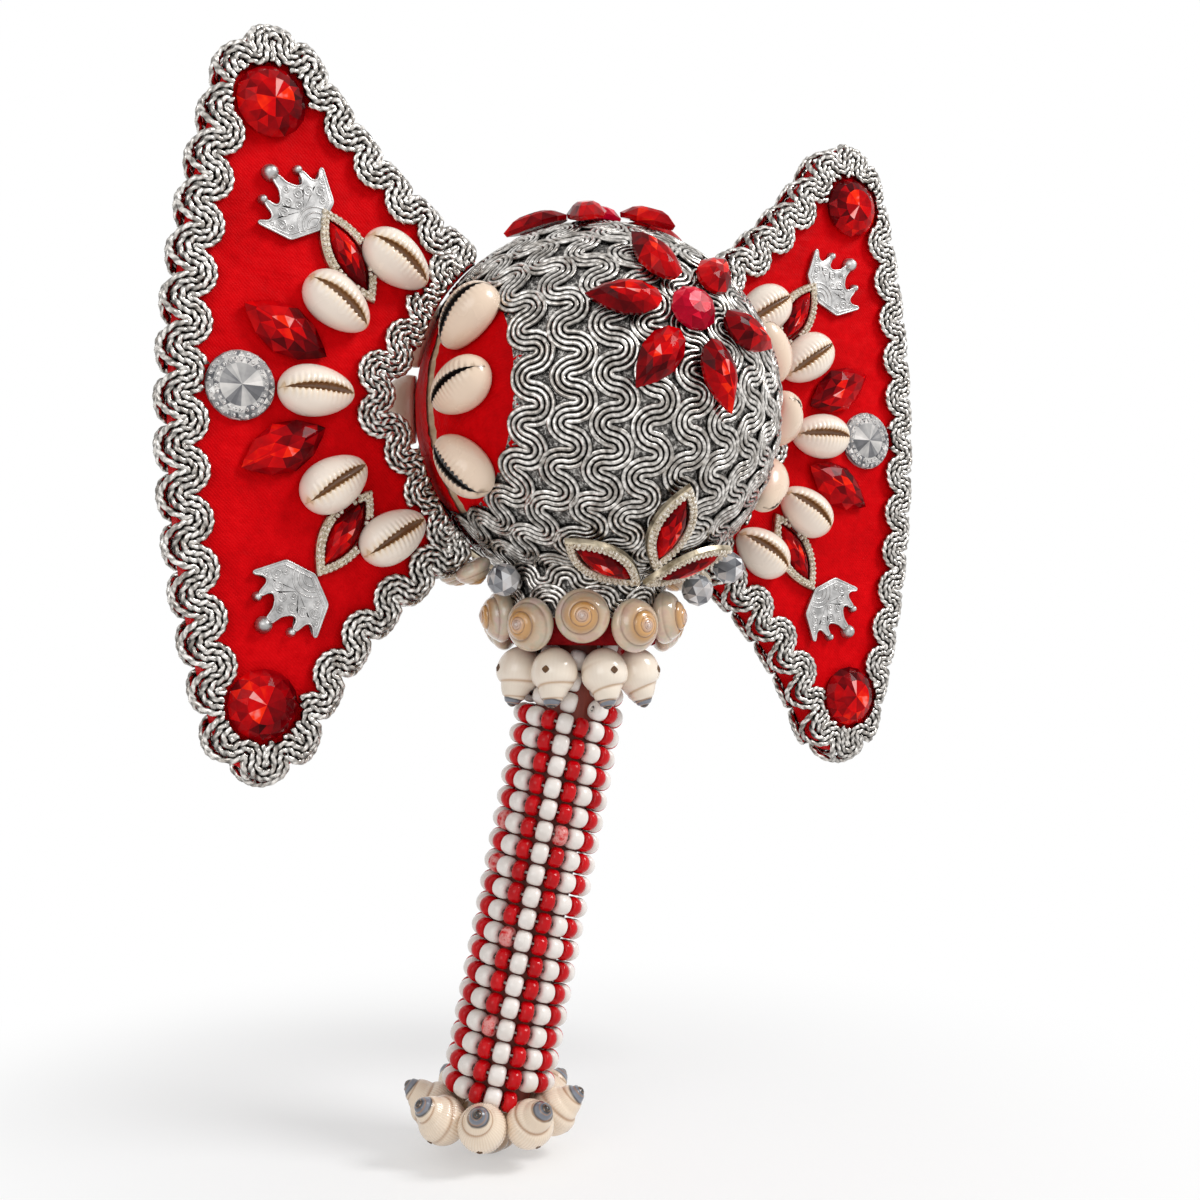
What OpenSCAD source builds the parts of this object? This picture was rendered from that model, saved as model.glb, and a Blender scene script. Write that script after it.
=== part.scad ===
// Beaded double-axe maraca: a covered gourd rattle between two axe blades, on a beaded
// handle with shells at the neck and at the end. Millimetres, +Z up, blades along X,
// front towards -Y, origin on the floor under the gourd's centre.

/* [Gourd] */
// Diameter of the bare gourd
gourd_d = 101; // [95:1:110]
// Wall of the gourd shell
gourd_wall = 3; // [2:0.5:5]
// Thickness of the satin on the gourd and the blades
satin_t = 0.6; // [0.4:0.1:1]
// Bare strip between front and back satin over each side of the gourd
seam_w = 4.5; // [2:0.5:8]
// Number of braid rings round the gourd
braid_rings = 9; // [5:2:9]
// Angle on the gourd that one braid ring covers
braid_step = 11.7; // [10:0.1:11.8]
// Height of the braid above the gourd
braid_t = 2.4; // [1.6:0.1:3]
// Elevation of the front and back flowers
flower_el = 21.5; // [18:0.5:26]
// Elevation of the middle leaf of the lower motif
leaf_el = -41; // [-46:0.5:-38]

/* [Rattle seeds] */
// Diameter of one seed
seed_d = 7; // [5:0.5:8]
// Radius of the ring of seeds on the gourd's floor
seed_ring_r = 21; // [20:0.5:26]
// Seeds in each of the four heaps
seeds_per_heap = 4; // [2:1:4]

/* [Blades] */
// Distance of the board's outer edge from the gourd's centre
blade_reach = 117; // [114:1:124]
// Height of a blade's board over its two tips
blade_h = 189; // [185:1:200]
// Distance of the blades' middle below the gourd's centre
blade_drop = 4.6; // [0:0.1:6]
// Radius of the curved outer edge
edge_r = 290; // [260:5:340]
// Radius of the rounded tips
tip_r = 11.5; // [11:0.5:14]
// Radius of the hollow upper edge
waist_upper_r = 155; // [140:1:170]
// Radius of the hollow lower edge
waist_lower_r = 110; // [105:1:125]
// Thickness of the board
board_t = 7; // [5:0.5:9]
// Distance of the blades' middle plane behind the gourd's centre
blade_back = 9.5; // [8:0.5:11]
// Elevation at which the arms of a blade reach the gourd
arm_a = 50; // [47:1:52]
// Depth of the open notch between gourd and board
notch_d = 8.6; // [6:0.2:10]
// Half angle of the notch, seen from the gourd's centre
notch_a = 21; // [16:1:24]

/* [Braid trim] */
// Distance of the trim's middle line inside the board's edge
trim_inset = 3.5; // [3:0.1:4.5]
// Half width of the trim's ribbon
trim_half_w = 3.8; // [3:0.1:4.2]
// Swing of the ribbon to each side
trim_swing = 2.2; // [1:0.1:2.4]
// Length of one wave of the ribbon
trim_wave = 13.7; // [11:0.1:17]
// Thickness of the trim
trim_t = 2.6; // [1.8:0.1:3.2]

/* [Stones and charms] */
// Diameter of the round red stones
gem_d = 18.4; // [16:0.2:19]
// Height of the round red stones
gem_h = 5.2; // [4:0.2:6]
// Diameter of the clear round stones
rivoli_d = 18; // [15:0.2:18.6]
// Height of the clear round stones
rivoli_h = 3.6; // [2.5:0.1:4.5]
// Length of the large navette stones
navette_l = 25; // [21:0.5:26]
// Width of the large navette stones
navette_w = 13.5; // [11:0.5:14]
// Length of the slim navette stones
slim_l = 20; // [18:0.5:21]
// Width of the slim navette stones
slim_w = 7; // [5:0.5:8]
// Width of the crystal border round a slim navette
border_w = 3; // [2:0.1:3.2]
// Height of a navette stone
navette_h = 4.4; // [3:0.2:5]
// Size of a crown charm over its points
crown_s = 17; // [14:0.5:18]
// Thickness of a crown charm
crown_t = 1.8; // [1.2:0.1:2.4]
// Length of a flower petal stone
petal_l = 20; // [16:0.5:20.5]
// Width of a flower petal stone
petal_w = 10.5; // [8:0.5:11]
// Diameter of the stone in the middle of a flower
flower_mid_d = 13; // [11:0.5:13.5]

/* [Shells] */
// Length of a cowrie
cowrie_l = 20.5; // [18:0.5:21]
// Width of a cowrie
cowrie_w = 14; // [11:0.5:14]
// Height of a cowrie above its ground-off back
cowrie_h = 9; // [8:0.2:10]
// Width of the cowrie's toothed slit
slit_w = 1.5; // [1:0.1:2]
// Diameter of a top shell at the neck
top_d = 14.8; // [12:0.2:14.8]
// Height of a top shell at the neck
top_h = 9.5; // [7:0.5:10.5]
// Length of a small moon snail
snail_l = 17; // [15:0.5:18]
// Width of a small moon snail
snail_w = 12.8; // [11:0.1:13]
// Length of the moon snail under the handle
base_l = 16; // [14:0.5:18]
// Width of the moon snail under the handle
base_w = 18; // [16:0.5:18.4]
// Diameter of a drilled hole in a shell
drill_d = 1.8; // [1:0.1:2.5]
// Diameter of a faceted crystal bead
crystal_d = 9.6; // [7:0.2:9.8]
// Diameter of a small top shell under an arm
side_d = 10.6; // [8:0.2:11]
// Height of a small top shell under an arm
side_h = 7; // [5:0.5:7.5]

/* [Handle] */
// Lean of the handle towards -X
handle_lean = 11.7; // [8:0.1:14]
// Depth of the handle's bend inside the gourd
neck_sink = 4; // [2.5:0.5:6.5]
// Length of the stick below that point
stick_len = 145; // [110:1:170]
// Length of the stick inside the gourd, above that point
stick_in = 10; // [6:0.5:14]
// Diameter of the stick
stick_d = 19; // [17:0.2:20]
// Diameter of the red collar under the gourd
collar_d = 41; // [40:0.5:43]
// Distance below the crossing point at which the bead winding starts
winding_start = 38; // [36:0.5:44]
// Distance from the last turn of the bead winding to the end of the stick
winding_end = 6.7; // [6:0.1:12]
// Distance from one turn to the next
bead_pitch = 5.9; // [5.8:0.05:5.95]
// Diameter of a bead
bead_d = 5.6; // [4.6:0.1:5.6]
// Beads in one turn
beads_per_turn = 18; // [18:2:22]
// Share of the thread of a white and a red bead that the white one fills
white_share = 0.51; // [0.42:0.01:0.51]
// Share of that thread that the red one fills
red_share = 0.4; // [0.34:0.01:0.4]
// Diameter of the thread
thread_d = 0.9; // [0.6:0.1:1]
// Play between the thread and a bead's hole
thread_play = 0.3; // [0.2:0.05:0.4]

/* [Hidden] */
$fn = 48;
// Clearance between a piece and the curved surface that carries it
seat = 0.3;
// Overshoot of a cutting tool
cut = 1;
LEFT = -1;
RIGHT = 1;
FRONT = 1;
BACK = -1;

// Radii of the layers round the gourd's centre
gourd_r = gourd_d / 2;
cavity_r = gourd_r - gourd_wall;
satin_r = gourd_r + seat / 2 + satin_t;
braid_base_r = gourd_r + seat;
braid_r = braid_base_r + braid_t;
blade_seat_r = braid_r + seat;
stone_seat_r = braid_r + seat;

// Height of the gourd's centre above the floor
stick_r = stick_d / 2;
neck_drop = gourd_r - neck_sink;
gourd_z = neck_drop + (stick_len + seat + base_l) * cos(handle_lean);

// Blade outline: centres of its arcs, outward distance first, then height
tip_v = blade_h / 2 - tip_r;
edge_c = [blade_reach - edge_r, 0];
tip_a = asin(tip_v / (edge_r - tip_r));
tip_c = edge_c + (edge_r - tip_r) * [cos(tip_a), sin(tip_a)];
face_h = board_t / 2 + satin_t;
// Middle line of the trim beside the gourd
hug_r = blade_seat_r + trim_inset - 0.4;
hug_a = arm_a - 7;
samples_per_wave = 10;

// Places of the stones and charms on a blade, outward distance first, then height
gem_at = [tip_c[0] + 1.3, tip_c[1] - 5.5];
rivoli_at = [blade_reach - 16, 0];
// Rise of the inner stones and cowries, and of the crowns, over the blade's middle
inner_rise = blade_drop - 0.8;
crown_rise = blade_drop - 3.5;
mid_cowrie_at = [rivoli_at[0] - rivoli_d / 2 - cowrie_l / 2 - seat, 0];
navette_at = [rivoli_at[0] - 11.5, 15.2];
navette_turn = 28;
slim_at = [rivoli_at[0] - 28.2, 36.6];
slim_turn = 58;
crown_at = [blade_reach - 29.4, slim_at[1] + 15.3];
// Each entry: outward distance, height, turn of the slit
cowries_at = [
  [mid_cowrie_at[0], 0, 0],
  [rivoli_at[0] - 24.9, 23.7, 35],
  [rivoli_at[0] - 24.9, -23.7, -35],
  [rivoli_at[0] - 41.3, 37, 33],
  [rivoli_at[0] - 41.3, -37, -33]
];
// Cowries on the gourd's sides: azimuth from the front, elevation, turn of the slit
front_cowries = [[70.5, 20.5, 52], [69.5, 0, 26], [72.5, -21.5, -47]];
back_cowries = [[120, 23.5, 90], [120, 0, 90], [120, -23.5, 90]];

// Handle: radii of the rings round the stick and their distance below the crossing point
bead_r = bead_d / 2;
winding_r = stick_r + seat + bead_r;
winding_slope = atan(bead_pitch / (2 * PI * winding_r));
thread_r = thread_d / 2;
bead_hole_r = thread_r + thread_play;
winding_turns = floor((stick_len - winding_start - winding_end) / bead_pitch + 0.01);
beads_total = floor(beads_per_turn * winding_turns);
pair_len = 4 * PI * winding_r / beads_per_turn;
collar_r = collar_d / 2;
neck_x = -18 * sin(handle_lean);
collar_drop = neck_drop + 20;
top_ring_drop = neck_drop + 13.2;
top_shells = 10;
top_stagger = 1.2;
neck_snail_count = 8;
neck_snail_tilt = 14;
neck_snail_r = 18;
end_snail_count = 8;
end_snail_tilt = 52;
end_ring_s = stick_len + 3;
side_gap = 4.1564;

// One of the two points where two circles meet
function circle_meet(a, ra, b, rb, side = 1) =
  let (
    v = b - a,
    d = norm(v),
    x = (ra * ra - rb * rb + d * d) / (2 * d),
    h = sqrt(max(0, ra * ra - x * x))
  )
  a + x * v / d + side * h * [-v[1], v[0]] / d;

function heading(v) = atan2(v[1], v[0]);
function dir(a) = [cos(a), sin(a)];
function flip(p) = [p[0], -p[1]];
function reversed(list) = [for (i = [len(list) - 1 : -1 : 0]) list[i]];

// Points on an arc, without its last point
function arc(c, r, a0, a1, n) = [for (i = [0 : n - 1]) c + r * dir(a0 + (a1 - a0) * i / n)];

// Arm's end in the gourd and hollow edge of the upper half (1) or the lower, turned up (-1)
function arm_end(half) = (blade_seat_r - 5) * dir(arm_a) + [0, half * blade_drop];
function waist_r(half) = half > 0 ? waist_upper_r : waist_lower_r;
function waist_c(half) =
  circle_meet(tip_c, waist_r(half) + tip_r, arm_end(half), waist_r(half), -1);

// Half of the board's outline, from the outer edge to the arm's end in the gourd
function half_outline(half) =
  let (c = waist_c(half), e = arm_end(half))
  concat(
    arc(edge_c, edge_r, 0, tip_a, 12),
    arc(tip_c, tip_r, tip_a, heading(c - tip_c), 14),
    arc(c, waist_r(half), heading(tip_c - c) + 360, heading(e - c) + 360, 12),
    [e]
  );
function board_outline() =
  concat(half_outline(1), reversed([for (p = half_outline(-1)) flip(p)]));

// Swell of the notch at an angle from the blade's middle, from 1 to 0
function notch_swell(a) = abs(a) < notch_a ? (1 + cos(180 * a / notch_a)) / 2 : 0;
function notch_outline() = concat(
  [for (a = [-notch_a : 2 : notch_a]) (blade_seat_r + notch_d * notch_swell(a)) * dir(a)],
  [(blade_seat_r / 2) * dir(notch_a), (blade_seat_r / 2) * dir(-notch_a)]
);

// Run of the trim along an arc: entries of point, outward normal and phase of the wave
function trim_run(c, r, a0, a1, sense) =
  let (
    waves = max(1, round(abs(a1 - a0) * PI / 180 * (r + sense * trim_half_w) / trim_wave)),
    n = waves * samples_per_wave
  )
  [for (i = [0 : n - 1])
    let (a = a0 + (a1 - a0) * i / n)
    [c + r * dir(a), sense * dir(a), 360 * waves * i / n]];

// Trim along the free edges, from the blade's middle to the arm's end in the gourd
function edge_half(half) =
  let (c = waist_c(half))
  concat(
    trim_run(edge_c, edge_r - trim_inset, 0, tip_a, 1),
    trim_run(tip_c, tip_r - trim_inset, tip_a, heading(c - tip_c), 1),
    trim_run(c, waist_r(half) + trim_inset, heading(tip_c - c), heading(arm_end(half) - c), -1)
  );

// Trim beside the gourd and round the notch, from the blade's middle towards the arm's end
function hug_half() =
  let (
    waves = max(1, round(hug_a * PI / 180 * hug_r / trim_wave)),
    n = waves * samples_per_wave
  )
  [for (i = [0 : n])
    let (
      a = hug_a * i / n,
      r = hug_r + notch_d * notch_swell(a),
      slope = abs(a) < notch_a ? -notch_d * 90 / notch_a * sin(180 * a / notch_a) : 0,
      normal = -r * dir(a) + slope * dir(a + 90)
    )
    [r * dir(a), normal / norm(normal), 360 * waves * i / n]];

// Outline of a wavy strip of trim through both halves of a face
function strip_side(half, offset) = [for (e = half) e[0] + e[1] * (offset + trim_swing * cos(e[2]))];
function strip_edge(upper, lower, offset) =
  let (below = strip_side(lower, offset))
  concat([for (i = [len(below) - 1 : -1 : 1]) flip(below[i])], strip_side(upper, offset));
function strip_outline(upper, lower, half_w) =
  concat(strip_edge(upper, lower, half_w), reversed(strip_edge(upper, lower, -half_w)));
function edge_strip(half_w) = strip_outline(edge_half(1), edge_half(-1), half_w);

// Outline of a stone with two pointed ends, and of a drop with one round end
function lens_outline(l, w, n) =
  [for (i = [0 : n - 1])
    let (t = 360 * i / n)
    [l / 2 * cos(t), w / 2 * sin(t) * abs(sin(t))]];
function drop_outline(l, w, n) =
  [for (i = [0 : n - 1])
    let (t = 360 * i / n)
    [l / 2 * cos(t), w / 2 * sin(t) * pow(abs(sin(t)), 0.6) * (1 - 0.25 * cos(t))]];
function circle_outline(d, n, turn = 0) = [for (i = [0 : n - 1]) d / 2 * dir(360 * i / n + turn)];
function level(outline, share, z) = [for (p = outline) [p[0] * share, p[1] * share, z]];

// Point of the winding at an angle along it
function winding_point(a) =
  [winding_r * sin(a), -winding_r * cos(a), -winding_start - bead_pitch * a / 360];

// Solid through rings of points, each ring with as many points
module loft(rings) {
  n = len(rings[0]);
  top = len(rings) - 1;
  points = [for (r = rings) for (p = r) p];
  sides = [for (k = [0 : top - 1]) for (i = [0 : n - 1])
    let (a = k * n + i, b = k * n + (i + 1) % n)
    each [[a, a + n, b + n], [a, b + n, b]]];
  ends = [for (i = [1 : n - 2])
    each [[0, i, i + 1], [top * n, top * n + i + 1, top * n + i]]];
  polyhedron(points, concat(sides, ends));
}

// Placing helpers: on a blade's face, on the gourd, and along the handle
module on_blade(side, face) {
  translate([0, blade_back, gourd_z - blade_drop])
    mirror([side < 0 ? 1 : 0, 0, 0])
      mirror([0, face < 0 ? 1 : 0, 0])
        rotate([90, 0, 0])
          children();
}

module on_gourd(azimuth, elevation, r, turn = 0) {
  translate([0, 0, gourd_z])
    rotate([0, 0, azimuth])
      rotate([90 - elevation, 0, 0])
        translate([0, 0, r])
          rotate([0, 0, turn])
            children();
}

module on_handle() {
  translate([0, 0, gourd_z - neck_drop])
    rotate([0, handle_lean, 0])
      children();
}

// Level place at the neck, below the gourd's centre, and level place on the handle's axis
module at_neck(drop) {
  translate([neck_x, 0, gourd_z - drop])
    children();
}

module level_at(s) {
  translate([-s * sin(handle_lean), 0, gourd_z - neck_drop - s * cos(handle_lean)])
    children();
}

module ring_of(count, r, start = 0) {
  for (i = [0 : count - 1])
    rotate([0, 0, start + 360 * i / count])
      translate([r, 0, 0])
        children();
}

module gourd_ball(r) {
  translate([0, 0, gourd_z]) sphere(r, $fn = 96);
}

// Stones
module round_stone(d, h) {
  n = 16;
  loft([
    level(circle_outline(d, n), 0.94, 0),
    level(circle_outline(d, n), 1, h * 0.3),
    level(circle_outline(d, n, 180 / n), 0.8, h * 0.7),
    level(circle_outline(d, n), 0.52, h)
  ]);
}

module navette_stone(l, w, h) {
  n = 12;
  loft([
    level(lens_outline(l, w, n), 0.94, 0),
    level(lens_outline(l, w, n), 1, h * 0.3),
    level(lens_outline(l, w, n), 0.5, h)
  ]);
}

module drop_stone(l, w, h) {
  n = 12;
  loft([
    level(drop_outline(l, w, n), 0.94, 0),
    level(drop_outline(l, w, n), 1, h * 0.3),
    level(drop_outline(l, w, n), 0.5, h)
  ]);
}

module crystal_border(l, w, h) {
  n = 28;
  linear_extrude(h)
    difference() {
      polygon(lens_outline(l + 2.6 * border_w, w + 2 * border_w, n));
      polygon(lens_outline(l + 2 * seat, w + 2 * seat, n));
    }
}

// Clear stone: a low cone over a round, foiled back
module rivoli_stone() {
  rim_h = rivoli_h * 0.35;
  cylinder(d = rivoli_d, h = rim_h);
  translate([0, 0, rim_h])
    cylinder(d1 = rivoli_d, d2 = rivoli_d * 0.1, h = rivoli_h - rim_h);
}

// Crown charm with its points towards +Y: two spikes, two small balls and a large one
module crown_charm() {
  s = crown_s;
  difference() {
    linear_extrude(crown_t)
      polygon([
        [0, -0.5 * s], [0.34 * s, -0.3 * s], [0.5 * s, 0.26 * s], [0.34 * s, 0.02 * s],
        [0.25 * s, 0.26 * s], [0.1 * s, 0.08 * s], [0, 0.36 * s], [-0.1 * s, 0.08 * s],
        [-0.25 * s, 0.26 * s], [-0.34 * s, 0.02 * s], [-0.5 * s, 0.26 * s], [-0.34 * s, -0.3 * s]
      ]);
    translate([0, -0.06 * s, crown_t - 0.5])
      cylinder(d = 0.16 * s, h = 1);
  }
  for (x = [-0.25, 0.25])
    translate([x * s, 0.27 * s, 0])
      cylinder(d = 0.15 * s, h = crown_t + 0.4);
  translate([0, 0.38 * s, 0])
    cylinder(d = 0.24 * s, h = crown_t + 0.8);
}

// Shells
function egg_r(x, l, w) = w / 2 * sqrt(max(0, 1 - pow(2 * x / l, 2))) * (1 + 0.16 * 2 * x / l);
module egg(l, w) {
  n = 14;
  rotate([0, 90, 0])
    rotate_extrude()
      polygon(concat(
        [[0, l / 2]],
        [for (i = [1 : n - 1]) let (x = l / 2 * cos(180 * i / n)) [egg_r(x, l, w), x]],
        [[0, -l / 2]]
      ));
}

// Cowrie with its slit up, resting on its ground-off back
module cowrie_body(grow = 0) {
  axis_h = cowrie_h - cowrie_w / 2;
  intersection() {
    translate([0, 0, axis_h]) egg(cowrie_l + 2 * grow, cowrie_w + 2 * grow);
    translate([-cowrie_l, -cowrie_w, 0]) cube([2 * cowrie_l, 2 * cowrie_w, 2 * cowrie_h]);
  }
}

module cowrie() {
  teeth = 9;
  reach = 0.4 * cowrie_l;
  n = 2 * teeth;
  bite = 0.28 * slit_w;
  edge = [for (i = [0 : n])
    let (
      x = -reach + 2 * reach * i / n,
      taper = 1 - pow(abs(x) / reach, 4) * 0.8
    )
    [x, taper * (slit_w / 2 + bite * (i % 2)), 0.05 * cowrie_w * cos(90 * x / reach)]];
  difference() {
    cowrie_body();
    translate([0, 0, cowrie_h * 0.62])
      linear_extrude(cowrie_h)
        polygon(concat(
          [for (e = edge) [e[0], e[2] + e[1]]],
          [for (i = [n : -1 : 0]) [edge[i][0], edge[i][2] - edge[i][1]]]
        ));
  }
}

// Top shell: low cone of whorls, apex towards +Z
module top_shell(d, h) {
  rotate_extrude()
    polygon([
      [0, 0], [0.36 * d, 0], [0.46 * d, 0.1 * h], [0.5 * d, 0.3 * h], [0.47 * d, 0.5 * h],
      [0.4 * d, 0.64 * h], [0.36 * d, 0.68 * h], [0.34 * d, 0.74 * h], [0.25 * d, 0.85 * h],
      [0.22 * d, 0.87 * h], [0.2 * d, 0.91 * h], [0.11 * d, 0.96 * h], [0, h]
    ]);
}

// Moon snail standing on its body whorl, apex towards +Z, middle at the origin
module snail(l, w) {
  difference() {
    rotate_extrude()
      polygon([
        [0, -0.5 * l], [0.2 * w, -0.48 * l], [0.36 * w, -0.38 * l], [0.47 * w, -0.2 * l],
        [0.5 * w, -0.04 * l], [0.46 * w, 0.1 * l], [0.36 * w, 0.19 * l], [0.3 * w, 0.22 * l],
        [0.29 * w, 0.28 * l], [0.22 * w, 0.35 * l], [0.17 * w, 0.37 * l], [0.16 * w, 0.42 * l],
        [0.09 * w, 0.48 * l], [0, 0.5 * l]
      ]);
    translate([0, 0, -0.05 * l])
      rotate([0, 90, 0])
        translate([0, 0, 0.3 * w])
          cylinder(d = drill_d, h = w);
  }
}

// Gourd and what covers it
module gourd_shell() {
  color("burlywood")
    difference() {
      gourd_ball(gourd_r);
      gourd_ball(cavity_r);
      on_handle()
        translate([0, 0, -gourd_r])
          cylinder(r = stick_r + seat / 2, h = gourd_r + stick_in);
    }
}

// Satin on one side cap, in front of the bare seam or behind it
module cap_satin(side, face) {
  inner_x = gourd_r * sin(braid_step * braid_rings / 2) + 2 * seat;
  color("crimson")
    intersection() {
      difference() {
        gourd_ball(satin_r);
        gourd_ball(gourd_r + seat / 2);
      }
      translate([side > 0 ? inner_x : -inner_x - gourd_d,
                 face > 0 ? -seam_w / 2 - gourd_d : seam_w / 2,
                 gourd_z - gourd_d])
        cube([gourd_d, gourd_d, 2 * gourd_d]);
    }
}
module cap_satin_left_front() cap_satin(LEFT, FRONT);
module cap_satin_left_back() cap_satin(LEFT, BACK);
module cap_satin_right_front() cap_satin(RIGHT, FRONT);
module cap_satin_right_back() cap_satin(RIGHT, BACK);

// Section of one braid ring: a low dome on the gourd, round the given angle
function braid_section(middle) =
  let (half_a = braid_step / 2 - 0.35)
  concat(
    [for (t = [-1 : 0.25 : 1]) (braid_base_r + braid_t * (0.25 + 0.75 * sqrt(1 - 0.98 * t * t))) * dir(middle + t * half_a)],
    [for (t = [1 : -0.5 : -1]) braid_base_r * dir(middle + t * half_a)]
  );

// Braid rings round the X axis, open round the collar and under the outer cowries
module gourd_braid() {
  color("silver")
    for (i = [0 : braid_rings - 1])
      difference() {
        translate([0, 0, gourd_z])
          rotate([0, 90, 0])
            rotate_extrude($fn = 96)
              polygon(braid_section(braid_step * (i - (braid_rings - 1) / 2)));
        at_neck(gourd_d)
          cylinder(r = collar_r + seat, h = gourd_d);
        if (i == 0)
          each_gourd_cowrie(LEFT) translate([0, 0, -seat]) cowrie_body(seat);
        if (i == braid_rings - 1)
          each_gourd_cowrie(RIGHT) translate([0, 0, -seat]) cowrie_body(seat);
      }
}

module each_gourd_cowrie(side) {
  for (c = concat(front_cowries, back_cowries))
    on_gourd(side * c[0], c[1], satin_r + seat, -side * c[2])
      children();
}

module gourd_cowries() {
  color("antiquewhite")
    for (side = [LEFT, RIGHT])
      each_gourd_cowrie(side)
        cowrie();
}

// Flowers of drop stones in front, behind and on top of the gourd
module each_flower() {
  on_gourd(0, flower_el, 0) children();
  on_gourd(180, flower_el, 0) children();
  on_gourd(0, 90, 0) children();
}

module flower_petals() {
  petals = 6;
  swing = asin((flower_mid_d / 2 + petal_l / 2 + seat) / stone_seat_r) + 1.5;
  color("red")
    each_flower()
      for (i = [0 : petals - 1])
        rotate([0, 0, 360 * i / petals + 50])
          rotate([0, swing, 0])
            translate([0, 0, stone_seat_r])
              drop_stone(petal_l, petal_w, navette_h);
}

module flower_centres() {
  color("crimson")
    each_flower()
      translate([0, 0, stone_seat_r])
        round_stone(flower_mid_d, navette_h);
}

// Three leaves low on the gourd, in front and behind
module each_leaf() {
  for (azimuth = [0, 180]) {
    on_gourd(azimuth, leaf_el, stone_seat_r, 90) children();
    on_gourd(azimuth - 25, leaf_el - 14, stone_seat_r, 140) children();
    on_gourd(azimuth + 25, leaf_el - 14, stone_seat_r, 40) children();
  }
}

module leaf_stones() {
  color("red") each_leaf() navette_stone(slim_l, slim_w, navette_h * 0.8);
}

module leaf_borders() {
  color("goldenrod")
    each_leaf()
      crystal_border(slim_l, slim_w, navette_h * 0.45);
}

// Loose seeds on the gourd's floor, in four heaps round the stick
module seed_heap(middle) {
  r = cavity_r - seed_d / 2 - seat;
  step = 90 / seeds_per_heap;
  color("saddlebrown")
    translate([0, 0, gourd_z - sqrt(r * r - seed_ring_r * seed_ring_r)])
      for (i = [0 : seeds_per_heap - 1])
        rotate([0, 0, middle + (i - (seeds_per_heap - 1) / 2) * step])
          translate([seed_ring_r, 0, 0])
            sphere(d = seed_d, $fn = 24);
}
module seeds_front() seed_heap(-90);
module seeds_back() seed_heap(90);
module seeds_left() seed_heap(180);
module seeds_right() seed_heap(0);

// Handle
module handle_stick() {
  color("peru")
    on_handle()
      translate([0, 0, -stick_len])
        cylinder(r = stick_r, h = stick_len + stick_in);
}

module neck_collar() {
  color("crimson")
    difference() {
      at_neck(collar_drop)
        cylinder(r = collar_r, h = collar_drop - gourd_r / 2);
      on_handle()
        translate([0, 0, -gourd_r])
          cylinder(r = stick_r + seat / 2, h = gourd_d);
      gourd_ball(gourd_r + seat);
    }
}

module top_shell_ring() {
  color("tan")
    for (i = [0 : top_shells - 1])
      at_neck(top_ring_drop + top_stagger * (i % 2 * 2 - 1))
        rotate([0, 0, 25 + 360 * i / top_shells])
          translate([collar_r + seat, 0, 0])
            rotate([0, 90, 0])
              top_shell(top_d, top_h);
}

module neck_snails() {
  color("linen")
    at_neck(collar_drop + seat + snail_l / 2)
      translate([-snail_l / 2 * sin(handle_lean), 0, 0])
        ring_of(neck_snail_count, neck_snail_r, 41)
          rotate([0, 180 - neck_snail_tilt, 0])
            rotate([0, 0, 180])
              snail(snail_l, snail_w);
}

// Small top shells under the lower arms of the blades, one in front and one behind
module side_shells() {
  c = flip(waist_c(-1));
  drop_r = waist_lower_r - trim_half_w - trim_swing + trim_inset - seat;
  at = circle_meet(c, drop_r, [0, blade_drop], blade_seat_r + side_gap, -1);
  color("tan")
    for (side = [LEFT, RIGHT])
      for (depth = [-1, 1])
        on_blade(side, FRONT)
          translate([at[0], at[1], depth * (side_d / 2 + seat)])
            rotate([0, 0, heading(c - at)])
              rotate([0, 90, 0])
                top_shell(side_d, side_h);
}

module crystal_beads() {
  color("lightsteelblue")
    for (place = [[-80, -57], [64, -60], [66, -49]])
      on_gourd(place[0], place[1], stone_seat_r + crystal_d / 2)
        sphere(d = crystal_d, $fn = 10);
}

// Thread of the bead string, wound round the stick
module bead_thread() {
  rings_per_turn = 24;
  sides = 6;
  count = rings_per_turn * winding_turns;
  angles = [for (i = [0 : count]) 360 * i / rings_per_turn];
  path = [for (a = angles) winding_point(a)];
  gap = min([for (i = [0 : count])
    for (j = [i + rings_per_turn / 2 : 1 : min(count, i + 2 * rings_per_turn)])
      norm(path[i] - path[j])]) - thread_d;
  echo(least_gap_between_turns = gap);
  first = path[0] - thread_d * [1, 0, 0];
  last = path[count] + thread_d * [cos(angles[count]), sin(angles[count]), 0];
  color("white")
    on_handle()
      loft(concat(
        [thread_ring(first, 0, sides)],
        [for (i = [0 : count]) thread_ring(path[i], angles[i], sides)],
        [thread_ring(last, angles[count], sides)]
      ));
}

// Ring of points round the thread, standing across its run
function thread_ring(middle, a, sides) =
  [for (k = [0 : sides - 1])
    let (t = 360 * k / sides)
    middle + thread_r * (cos(t) * [sin(a), -cos(a), 0] + sin(t) * [0, 0, 1])];

// One bead round the thread: a round rim with a bore
module bead(length) {
  rotate_extrude()
    intersection() {
      translate([bead_r - length / 2, 0]) circle(length / 2, $fn = 32);
      translate([bead_hole_r, -length]) square([bead_r, 2 * length]);
    }
}

module beads(first, length) {
  on_handle()
    for (i = [first : 2 : beads_total - 1]) {
      a = 360 * (i + 0.5) / beads_per_turn;
      translate([0, 0, -winding_start - bead_pitch * a / 360])
        rotate([0, 0, a])
          translate([0, -winding_r, 0])
            rotate([0, 90 + winding_slope, 0])
              bead(length);
    }
}
module white_beads() color("white") beads(0, white_share * pair_len);
module red_beads() color("red") beads(1, red_share * pair_len);

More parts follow.
